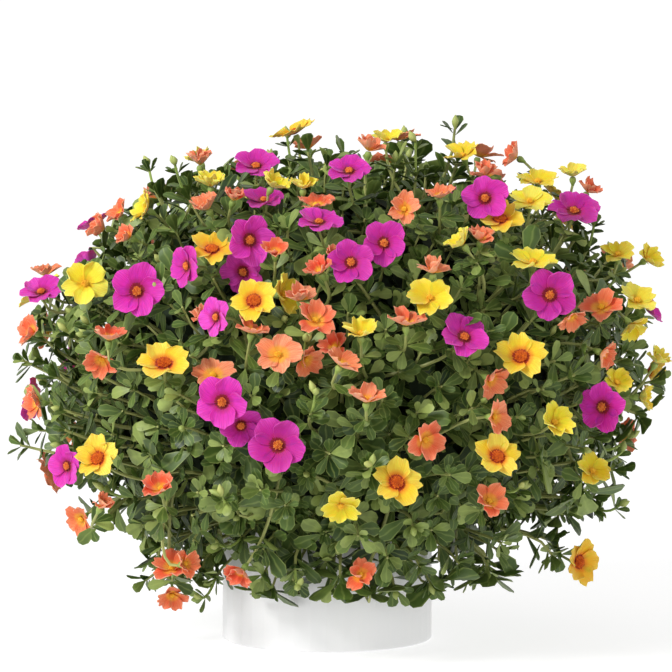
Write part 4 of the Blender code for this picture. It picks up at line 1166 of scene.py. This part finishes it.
def grow_branch(number, name):
    """One branch: the shoots whose tips lie in its share of the circle, the model's whorls, inner leaves in
    painted shade and a few buds."""
    draw = np.random.default_rng(100 + number)
    growth = Growth()
    own = TIPS[in_share(TIPS, number)]
    ways = unit(outward(own) + UP * 0.35 + draw.normal(0, 0.18, own.shape))
    shoots(growth, own, ways, draw)
    hanging = in_share(HEM_TIPS, number)
    down = unit(HEM_WAYS[hanging] * 0.8 - UP * draw.uniform(0.1, 0.9, (hanging.sum(), 1)))
    shoots(growth, HEM_TIPS[hanging], down, draw, core=HEM_STARTS[hanging])
    found = fans(name, WHORL_RIM)
    if found:
        facings = np.array([whorl_leaves(growth, tip, rim, draw) for tip, rim in found])
        tips = np.array([tip for tip, _ in found])
        shoots(growth, tips - facings * 1 * MM, facings, draw, leafy=False)
    inner_leaves(growth, number * SHARE, (number + 1) * SHARE, draw)
    chosen = draw.permutation(len(own))
    sprigs(growth, own[chosen[:SPRIGS]], ways[chosen[:SPRIGS]], draw)
    chosen = chosen[SPRIGS:2 * SPRIGS]
    buds(growth, own[chosen], ways[chosen], draw)
    thing = growth.piece(name.replace("branch", "foliage"), FINISHES)
    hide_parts(name)
    return len(growth.faces)


leaf_faces_made = sum(grow_branch(number, name) for number, name in enumerate(BRANCHES))
print("the branches have", leaf_faces_made, "faces")

# %% [markdown]
# ## The dark inside of the mound
#
# Between the leaves one looks into shade, never through the plant. A turned body a little inside the
# inner leaves closes that view, painted the near black of shade. It is a ball squeezed to the mound's
# form and roughened by a sum of waves, so that where it does show it reads as tangled growth in shade.

# %% Inner growth
INSIDE_ROWS = 40
INSIDE_COLUMNS = 72
INSIDE_SHARE = 0.93
INSIDE_LOWEST = 118 * MM


def inside():
    """A ball of rows and columns: its radius in each way is the inner shell's times a share plus small
    waves, and it is cut flat just above the soil."""
    rise = np.linspace(-math.pi / 2, math.pi / 2, INSIDE_ROWS)[:, None]
    around = np.arange(INSIDE_COLUMNS)[None] * math.tau / INSIDE_COLUMNS
    waves = 0.03 * np.sin(9 * around + 5 * rise) + 0.03 * np.sin(14 * rise - 6 * around)
    level = np.cos(rise)
    waves = (waves + 0.02 * np.sin(23 * around)) * level
    way = np.stack((level * np.cos(around), level * np.sin(around), np.sin(rise) + 0 * around), axis=-1)
    places = MOUND_CENTRE + way * INNER_SHELL * (INSIDE_SHARE + waves)[..., None]
    places[..., 2] = np.maximum(places[..., 2], INSIDE_LOWEST)
    mesh = bpy.data.meshes.new("painted_shade_body")
    mesh.from_pydata(places.reshape(-1, 3).tolist(), [], ring_quads(INSIDE_ROWS, INSIDE_COLUMNS).tolist())
    return mesh


def closed(mesh):
    """Merge the corners that lie on each other at the poles, and drop the faces that this flattens."""
    shape = bmesh.new()
    shape.from_mesh(mesh)
    bmesh.ops.remove_doubles(shape, verts=shape.verts, dist=0.05 * MM)
    bmesh.ops.dissolve_degenerate(shape, edges=shape.edges, dist=0.01 * MM)
    bmesh.ops.recalc_face_normals(shape, faces=shape.faces)
    shape.to_mesh(mesh)
    shape.free()
    mesh.shade_smooth()


inner = show("painted_shade_body", inside())
closed(inner.data)
# The body's colour is painted shade: patches of two near-black greens.
shade = Finish("shade", 0.95, Specular_IOR_Level=0.1)
patches = shade.smooth(shade.noise(70.0), 0.35, 0.7)
shade.colour(shade.mix(patches, (0.004, 0.009, 0.003), (0.018, 0.036, 0.008)))
shade.bump(shade.noise(160.0), 1.0, 3 * MM)
inner.data.materials.append(shade.material)
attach(inner, "root")
print("inner growth of", len(inner.data.polygons), "faces")

# %% [markdown]
# ## Pot and soil
#
# The pot and the soil already have their right shapes, so they only get finishes: smooth satin plastic
# with the faintest unevenness, and dark crumbly soil.

# %% Pot and soil finishes
def mottled(name, dark, light, roughness, scale, bump_scale, strength, depth):
    """Two colours by noise, with a bump of another scale."""
    finish = Finish(name, roughness, Specular_IOR_Level=0.5)
    finish.colour(finish.mix(finish.smooth(finish.noise(scale), 0.3, 0.7), dark, light))
    finish.bump(finish.noise(bump_scale), strength, depth)
    return finish.material


def dress(node, material):
    """Give a model node one finish."""
    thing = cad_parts[node]
    thing.data.materials.clear()
    thing.data.materials.append(material)


dress("pot", mottled("satin_white", (0.84, 0.84, 0.85), (0.88, 0.88, 0.885), 0.34, 6, 25, 0.04, 0.4 * MM))
dress("soil", mottled("soil", (0.025, 0.016, 0.010), (0.09, 0.06, 0.04), 0.95, 90, 260, 0.9, 2.5 * MM))
print("pot and soil are dressed")
